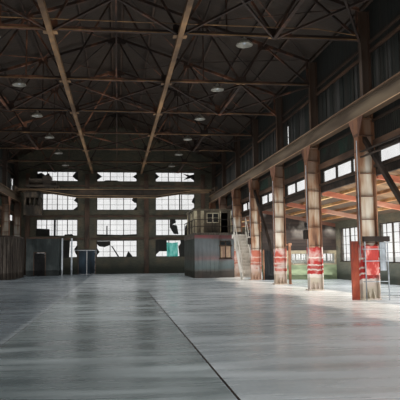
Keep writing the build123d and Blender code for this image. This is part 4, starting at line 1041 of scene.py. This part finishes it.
def roof_sheets():
    """Outside: standing ribs down the slopes, barge boards and gutters under the eaves."""
    ribs, trim = Piece("roof_ribs"), Piece("eaves_trim")
    slopes = ((0.07, EAVE_EDGE - 0.004, nave_top), (UPPER_OUT + 0.03, AISLE_EDGE - 0.004, aisle_top))
    rows = spaced(0.02 - ROOF_END, ROOF_END - 0.02, int(2 * ROOF_END / ROOF_RIB_PITCH) + 1)
    for y, side, (x0, x1, top) in product(rows, SIGNS, slopes):
        ribs.bar((side * x0, y, top(x0) + 0.008), (side * x1, y, top(x1) + 0.008), (0, 1, 0), 0.03, 0.018)
    for side in SIGNS:
        for x, z in ((EAVE_EDGE - 0.05, nave_top(EAVE_EDGE) - DECK_T - 0.045),
                     (AISLE_EDGE - 0.05, aisle_top(AISLE_EDGE) - AISLE_DECK_T - 0.05)):
            trim.prism([(side * (x + a), -ROOF_END, z + b) for a, b in GUTTER], (0, 2 * ROOF_END, 0))
        for way in SIGNS:
            y = sorted((way * (WALL_END + 0.02), way * (ROOF_END - 0.005)))
            outline = [(side * x, y[0], nave_top(x) - drop)
                       for x, drop in ((0.0, 0.01), (EAVE_EDGE, 0.01), (EAVE_EDGE, 0.12), (0.0, 0.12))]
            trim.prism(outline, (0, y[1] - y[0], 0))
    ribs.place("roof_deck")
    trim.place("dark_steel")


def aisle_top(x):
    """Height of the aisle roof's top at x."""
    return AISLE_TOP - (x - UPPER_OUT) * AISLE_SLOPE


def nave_top(x):
    """Height of the nave roof's top at x."""
    return APEX_TOP - x * ROOF_SLOPE


def crane_details():
    """Stiffeners and lips on the bridge girders, and the cab's sashes and boards."""
    low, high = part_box("crane_bridge")
    steel, lips, cab = Piece("crane_plates"), Piece("crane_lit_lips"), Piece("cab_trim")
    belly = [(x, z + 0.01) for x, z in BRIDGE_BELLY]
    belly = [(-x, z) for x, z in belly[::-1]] + belly
    for way in SIGNS:
        y = (low.y + high.y) / 2 + way * BRIDGE_SPREAD
        for step, face in product(range(-3, 4), SIGNS):
            steel.box(about(step * 0.6, 0.006), (y + face * 0.008, y + face * 0.05),
                      (BRIDGE_BELLY[0][1] + 0.02, BRIDGE_TOP - 0.02))
        # The lips carry a painted highlight in tan along the girders' flange edges
        for edge in about(y, 0.056):
            for start, end in zip(belly, belly[1:]):
                lips.bar((start[0], edge, start[1]), (end[0], edge, end[1]), (0, 1, 0), 0.006, 0.02)
            lips.box(about(0, BRIDGE_BELLY[-1][0]), about(edge, 0.003), (BRIDGE_TOP - 0.02, BRIDGE_TOP))
    steel.place("crane_steel", body="crane")
    lips.place("crane_lit_lips", "crane_steel", body="crane")
    low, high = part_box("crane_cab")
    top, sill, head = high.z - 0.06, low.z + 0.4, low.z + 0.82
    for plane in (low.y + 0.015, high.y - 0.015):
        sash(cab, 0, (low.x + 0.06, high.x - 0.06), (sill, head), plane, 3, 1, 1)
    for plane in (low.x + 0.015, high.x - 0.015):
        sash(cab, 1, (low.y + 0.06, high.y - 0.06), (sill, head), plane, 3, 1, 1)
    z = (low.z + 0.02, sill - 0.02)
    for x, y in product(spaced(low.x, high.x, 7), (low.y, high.y)):
        cab.box(about(x, 0.012), about(y, 0.008), z)
    for y, x in product(spaced(low.y, high.y, 9), (low.x, high.x)):
        cab.box(about(x, 0.008), about(y, 0.012), z)
    cab.box((low.x - 0.02, high.x + 0.02), (low.y - 0.02, high.y + 0.02), (top - 0.012, top))
    cab.place("cab_paint", body="crane")


def trolley_details():
    """Rope turns on the drum, ribs and a lip on the gear housing, fins on the motor, bolts on the bed."""
    low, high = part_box("trolley_bed")
    middle, top = (low.y + high.y) / 2, high.z
    piece, ropes = Piece("hoist_trim"), Piece("drum_rope")
    for step in range(ROPE_TURNS):
        x = low.x + 0.15 + step * ROPE_PITCH
        ropes.prism(circle((x, middle, top + 0.19), (0, 1, 0), (0, 0, 1), 0.156, 24), (0.014, 0, 0))
    for step in range(5):
        x = GEAR_X + 0.03 + step * 0.08
        piece.box((x, x + 0.012), about(middle, 0.306), (top, top + 0.42))
    piece.box((GEAR_X - 0.01, GEAR_X + 0.39), about(middle, 0.31), (top + 0.2, top + 0.225))
    for step in range(6):
        x = GEAR_X + 0.42 + step * 0.035
        piece.prism(circle((x, middle - 0.19, top + 0.118), (0, 1, 0), (0, 0, 1), 0.118, 16), (0.01, 0, 0))
    for x, y in product((low.x + 0.03, high.x - 0.03), (low.y + 0.04, high.y - 0.04)):
        piece.lathe((x, y, top), ((0.02, 0.0), (0.02, 0.014), (0.011, 0.014), (0.011, 0.03)), 6)
    piece.place("dark_steel", body="trolley")
    ropes.place("rail_steel", body="trolley")


def leaf_boards(name, node, body, look, face, back, handle_right):
    """Planks, ledges and a pull handle on one leaf: face is its nave side, back its ledges' depth."""
    low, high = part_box(node)
    piece = Piece(name)
    planks = max(3, int((high.x - low.x) / LEAF_PLANK_W))
    step = (high.x - low.x) / planks
    for index in range(planks):
        x = low.x + index * step
        piece.box((x + PLANK_GAP, x + step - PLANK_GAP), (face - LEAF_PLANK_T, face),
                  (low.z + 0.01, high.z - 0.01))
    for share in (0.2, 0.5, 0.8):
        z = low.z + (high.z - low.z) * share
        piece.box((low.x + 0.03, high.x - 0.03), (face + back, face + back + STRIP_T), about(z, 0.04))
    x = high.x - 0.05 if handle_right else low.x + 0.05
    z = (low.z + high.z) / 2
    piece.pipe([(x, face - out, z + up)
                for out, up in ((0.004, -0.06), (0.025, -0.06), (0.025, 0.06), (0.004, 0.06))], HANDLE_R, 6)
    piece.place(look, body=body)


def doors():
    leaf_boards("left_leaf_boards", "far_door_left", "far_leaf_left", "blue_paint", HALF, 0.04, True)
    leaf_boards("right_leaf_boards", "far_door_right", "far_leaf_right", "blue_paint", HALF, 0.04, False)
    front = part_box("left_booth_front")[0].y
    # The booth leaf's near-black is partly painted shade of a dark doorway
    leaf_boards("booth_leaf_boards", "booth_door", "booth_leaf", "dark_door", front, 0.025, True)


def booth_details():
    """Cover strips, a fascia and a window on the right booth; windows, trim and roof lip of its cabin."""
    booth, window, board = Piece("booth_strips"), Piece("recess_window"), Piece("recess_board")
    low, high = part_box("right_booth")
    right, fascia = low.x + BOOTH_FRONT_W, (high.z - FASCIA_H, high.z - 0.01)
    z = (low.z, high.z - FASCIA_H)
    booth.strips(0, spaced(low.x, right, 7), STRIP_T, (low.y - STRIP_T, low.y), z)
    booth.strips(1, spaced(low.y, high.y, 24), STRIP_T, (low.x - STRIP_T, low.x), z)
    booth.box((low.x - 0.018, right + 0.02), (low.y - 0.018, low.y), fascia)
    booth.box((low.x - 0.018, low.x), (low.y, high.y), fascia)
    booth.box((low.x - 0.015, right + 0.01), (low.y - 0.015, low.y), (low.z, low.z + 0.07))
    booth.place("booth_paint", bevel=0.002)
    plane = low.y + 0.35
    left, right, sill, head = RECESS_WINDOW
    sash(window, 0, (left, right), (sill, head), plane + 0.02, 2, 1, 1)
    window.box((left - 0.04, right + 0.04), (plane - 0.02, plane), (sill - 0.04, sill))
    window.box((left - 0.04, right + 0.04), (plane - 0.015, plane), (head - 0.22, head - 0.17))
    window.place("girts", "red_paint")
    board.box((left + 0.03, right - 0.01), (plane + 0.006, plane + 0.014), (sill + 0.01, head - 0.22))
    board.place("tan_board", "store_boards")

    cream, dark, panes = Piece("cabin_trim"), Piece("cabin_boards"), Piece("cabin_panes")
    low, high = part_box("upper_cabin")
    third = (high.x - low.x) / 3
    across, along = (low.x + third, low.x + 2 * third), (low.y + third, low.y + 2 * third)
    openings, full = (low.z + 0.42, low.z + 0.82), (low.z, high.z)
    sash(cream, 0, across, openings, low.y + 0.02, 2, 1, 2)
    sash(cream, 1, along, openings, low.x + 0.02, 2, 1, 2)
    for x, wide in ((low.x, 0.11), (low.x + 0.26, 0.13), (across[1] + 0.03, 0.04), (high.x - 0.04, 0.04)):
        cream.box((x, x + wide), (low.y - TRIM_T, low.y), full)
    for y in (low.y + 0.05, *along, high.y - 0.06):
        cream.box((low.x - TRIM_T, low.x), (y, y + 0.05), full)
    dark.box((low.x - 0.05, high.x), (low.y - 0.05, low.y), (high.z - 0.07, high.z))
    dark.box((low.x - 0.05, low.x), (low.y, high.y), (high.z - 0.07, high.z))
    for rise in (0.1, 0.2, 0.3, 0.86):
        dark.box((low.x + 0.4, across[1]), (low.y - 0.01, low.y), (low.z + rise, low.z + rise + 0.08))
    dark.place("cabin_boards", "cream_paint")
    cream.place("cream_paint", bevel=0.002)
    panes.box(across, (low.y + 0.022, low.y + 0.022 + PANE_T), openings)
    panes.box((low.x + 0.022, low.x + 0.022 + PANE_T), along, openings)
    panes.place("dark_door", "glass")


def left_booth_details():
    """Cover strips on the left booth, its dull red roof band, strips and battens on the boarded store."""
    strips, band, store = Piece("left_booth_strips"), Piece("left_booth_band"), Piece("store_strips")
    battens = Piece("store_battens")
    low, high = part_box("left_booth_front")
    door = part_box("left_booth_lintel")
    for x in spaced(low.x, high.x, 16):
        bottom = door[0].z + 0.06 if door[0].x - 0.06 < x < door[1].x + 0.06 else low.z
        strips.box(about(x, 0.01), (low.y - 0.01, low.y), (bottom, high.z))
    low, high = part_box("left_booth_sides")
    strips.strips(1, spaced(low.y, high.y, 12), 0.01, (high.x, high.x + 0.01), (low.z, high.z))
    low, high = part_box("left_booth_roof")
    z = (low.z - 0.02, high.z)
    band.box((low.x, high.x + BAND_T), (low.y - BAND_T, low.y), z)
    band.box((high.x, high.x + BAND_T), (low.y, high.y), z)
    low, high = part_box("store_walls")
    z = (low.z, high.z)
    store.strips(1, spaced(low.y, high.y, 18), STRIP_T, (high.x, high.x + STRIP_T), z)
    store.strips(0, spaced(low.x, high.x, 8), STRIP_T, (low.y - STRIP_T, low.y), z)
    z = (low.z, high.z - 0.02)
    for share, half in BATTENS:
        battens.box((high.x, high.x + 0.03), about(low.y + (high.y - low.y) * share, half), z)
        battens.box(about(high.x + (low.x - high.x) * share, half * 0.6), (low.y - 0.03, low.y), z)
    battens.place("pale_battens", "store_boards", bevel=0.003)
    strips.place("left_boards", "booth_paint")
    band.place("end_rails", "red_paint")
    store.place("store_boards")


def chord_trim():
    """Conduit over one truss, and plates and a lip under the trusses' bottom chords."""
    tan, y, over, reach = Piece("chord_conduit"), frame_y(4) - 0.05, CHORD_Z + 0.19, 4.7
    edge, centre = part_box("chord_struts")[1].x, CHORD_PANEL_X[0]
    low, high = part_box("chord_bracing")
    under = CHORD_Z - (high.z - low.z)
    tan.pipe([(-reach, y, over), (3.9, y, over), (4.5, y, over - 0.08), (reach, y, over - 0.1)], PIPE_R)
    for y in lines():
        face = y - CHORD / 2
        tan.box((-reach, reach), (face - 0.004, face), (CHORD_Z, CHORD_Z + 0.022))
        for wing in ((centre - 0.13, 2 * centre - edge), (edge, centre + 0.13)):
            tan.twins(wing, about(y, 0.08), (under - 0.012, under))
        for x in CHORD_PANEL_X:
            tan.twins(about(x, 0.11), (face - 0.008, y + CHORD / 2), (CHORD_Z - 0.008, CHORD_Z))
    tan.place("strut_steel")


def cross_wall_leaf():
    """A dark leaf on the aisle's cross wall with its frame, and a short post beside a column."""
    leaf, post, wall = Piece("cross_wall_leaf"), Piece("side_post"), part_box("aisle_partition")[0].y
    y, top, head = frame_y(6) - 0.05, SIDE_POST_TOP, FLOOR_Z + CROSS_LEAF_H
    for half, off, z in ((0.055, 0.1, (FLOOR_Z, FLOOR_Z + 0.012)), (0.03, 0.1, (FLOOR_Z, top)),
                         (0.04, 0.11, (top, top + 0.07))):
        x = COLUMN_OUT + off
        post.box((x - half, x + half * 1.3), about(y, half), z)
    post.box((COLUMN_OUT, COLUMN_OUT + 0.07), about(y, 0.01), (top, top + 0.04))
    left, right = CROSS_LEAF_X
    width = (right - left) / 4
    for step in range(4):
        x = left + width * step
        leaf.box((x + 0.002, x + width - 0.002), (wall - 0.018, wall), (FLOOR_Z, head))
    for share in (0.15, 0.85):
        leaf.box((left + 0.02, right - 0.02), (wall - 0.028, wall - 0.018),
                 about(FLOOR_Z + CROSS_LEAF_H * share, 0.04))
    # The leaf's near-black is partly painted shade of a dark doorway in the cross wall
    leaf.place("dark_door", bevel=0.002)
    for x in (left - 0.035, right + 0.005):
        post.box((x, x + 0.03), (wall - 0.03, wall), (FLOOR_Z, head + 0.03))
    post.place("post_paint", "aisle_steel", bevel=0.003)


def services():
    """Pipes and boxes on the right column line, and a rack at one column."""
    pale, dark, red = Piece("conduits"), Piece("column_boxes"), Piece("rack_board")
    for line in range(3, 9):
        x, y = COLUMN_IN - 0.012, frame_y(line)
        pale.pipe([(x, y - 0.05, 0.9), (x, y - 0.05, 3.1)], 0.009)
        if line % 2:
            dark.box((COLUMN_IN - 0.09, COLUMN_IN), about(y, 0.06), (1.3, 1.52))
            dark.box((COLUMN_IN - 0.06, COLUMN_IN), about(y, 0.045), (1.58, 1.7))
    y = frame_y(4) - COLUMN_HALF_D
    near = y - 0.1
    for x in (COLUMN_IN + 0.02, COLUMN_OUT + 0.12):
        pale.tube((x, near, FLOOR_Z), (x, near, 1.18), PIPE_R)
    dark.box((COLUMN_IN - 0.02, COLUMN_OUT + 0.16), about(near, 0.03), (1.16, 1.26))
    for z in (2.76, 2.86):
        dark.box((COLUMN_IN + 0.03, COLUMN_IN + 0.08), (frame_y(3) + COLUMN_HALF_D, y), (z, z + 0.025))
    pale.box((COLUMN_OUT - 0.02, COLUMN_OUT + 0.1), (near + 0.02, near + 0.03), (0.62, 1.15))
    for z in (0.42, 0.8, 1.02):
        pale.tube((COLUMN_IN - 0.04, near - 0.012, z), (COLUMN_OUT + 0.12, near - 0.012, z), 0.007)
    red.box((COLUMN_IN + 0.03, COLUMN_IN + 0.28), (near + 0.01, near + 0.03), (0.54, 1.08))
    pale.place("pale_paint")
    dark.place("dark_steel", bevel=0.003)
    red.place("warning_red", "red_paint", bevel=0.003)


def stair_details():
    """Nosings and closed risers on the stair, and brackets under the landing."""
    low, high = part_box("stair_treads")
    piece, risers = Piece("stair_nosings"), Piece("stair_risers_shaded")
    rise = (high.z - low.z - TREAD_T) / (STAIR_STEPS - 1)
    going = (high.y - low.y - TREAD_GOING) / (STAIR_STEPS - 1)
    for step in range(STAIR_STEPS):
        y, z = low.y + going * step, low.z + TREAD_T + rise * step
        piece.box((low.x, high.x), (y - 0.006, y + 0.012), (z - 0.03, z + 0.003))
        if step < STAIR_STEPS - 1:
            risers.box((low.x, high.x), (y + going + 0.012, y + going + 0.02), (z, z + rise - 0.03))
    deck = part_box("booth_deck")[0]
    for x in (4.34, 4.6):
        corners = ((0.06, 0.0), (0.4, 0.0), (0.4, 0.16))
        piece.prism([(x, deck.y + y, deck.z - down) for y, down in corners], (0.02, 0, 0))
    piece.place("stair_steel")
    # The risers' darker finish is painted shade under the nosings
    risers.place("stair_risers_shaded", "stair_steel")


def studio():
    """A pale floor outside, soft lights in and around the hall, and the photograph's camera."""
    corners = [(a * STUDIO_REACH, b * STUDIO_REACH, -0.002) for a, b in ((-1, -1), (1, -1), (1, 1), (-1, 1))]
    mesh = bpy.data.meshes.new("studio_floor")
    mesh.from_pydata(corners, [], [(0, 1, 2, 3)])
    mesh.materials.append(LOOK["studio_pale"])
    linked("studio_floor", mesh)

    def soft(name, place, size, level, turn=(0.0, 0.0, 0.0)):
        """An unseen area light that gives the radiance level over its whole face."""
        light = bpy.data.lights.new(name, "AREA")
        light.shape, light.size, light.size_y = "RECTANGLE", size[0], size[1]
        light.energy = level * math.pi * size[0] * size[1]
        lamp = linked(name, light)
        lamp.location, lamp.rotation_euler = place, turn
        lamp.visible_camera = lamp.visible_glossy = lamp.visible_transmission = False

    length, upward = 2 * HALF - 1.0, (math.pi, 0, 0)
    soft("nave_down", (0, 0, CHORD_Z - 0.35), (9.0, length), 1.1)
    soft("nave_up", (0, 0, FLOOR_Z + 0.25), (9.0, length), 0.85, upward)
    for side, level in ((-1, 0.5), (1, 3.6)):
        x = side * (UPPER_OUT + OUTER_IN) / 2
        soft("aisle_down", (x, 0, 1.8), (2.3, length), level)
        soft("aisle_up", (x, 0, FLOOR_Z + 0.15), (2.3, length), level, upward)
    soft("near_fill", (1.0, 0.6 - HALF, 2.2), (7.0, 3.6), 1.4, (math.pi / 2, 0, 0))
    sun = bpy.data.lights.new("key", "SUN")
    sun.energy, sun.angle = 1.6, math.radians(40)
    linked("key", sun).rotation_euler = (math.radians(42), 0, math.radians(-35))

    world = bpy.data.worlds.new("studio")
    bpy.context.scene.world = world
    world.use_nodes = True
    tree = Tree(world.node_tree)
    seen = tree.node("LightPath", out="Is Camera Ray")
    rays = seen.socket.node.outputs
    for name in ("Is Glossy Ray", "Is Transmission Ray"):
        seen = tree.math("MAXIMUM", seen, Value(tree, rays[name]))
    sky = tree.node("Background", ("Color", (0.95, 0.97, 1.0, 1.0)), ("Strength", 0.55))
    white = tree.node("Background", ("Color", 0xffffff), ("Strength", 1.0))
    tree.node("OutputWorld", ("Surface", tree.node("MixShader", (0, seen), (1, sky), (2, white))))

    lens = bpy.data.cameras.new("camera")
    lens.lens, lens.sensor_width, lens.shift_x = CAMERA_LENS, 36.0, CAMERA_SHIFT
    lens.clip_start, lens.clip_end = 0.05, 200.0
    camera = linked("camera", lens)
    camera.location = CAMERA_AT
    turns = ((-CAMERA_YAW, "Z"), (90 + CAMERA_PITCH, "X"), (CAMERA_ROLL, "Z"))
    yaw, pitch, roll = (Matrix.Rotation(math.radians(turn), 3, axis) for turn, axis in turns)
    camera.rotation_euler = (yaw @ pitch @ roll).to_euler()
    bpy.context.scene.camera = camera
    bpy.context.scene.view_settings.view_transform = "Standard"


dress_frame()
window_frames()
window_boards()
strip_boards()
wall_rails()
column_plates()
girder_plates()
rivets()
roof_rods()
lamp_shades()
floor_joints()
end_wall_details()
outside_piers()
roof_sheets()
crane_details()
trolley_details()
doors()
booth_details()
left_booth_details()
chord_trim()
cross_wall_leaf()
services()
stair_details()
studio()
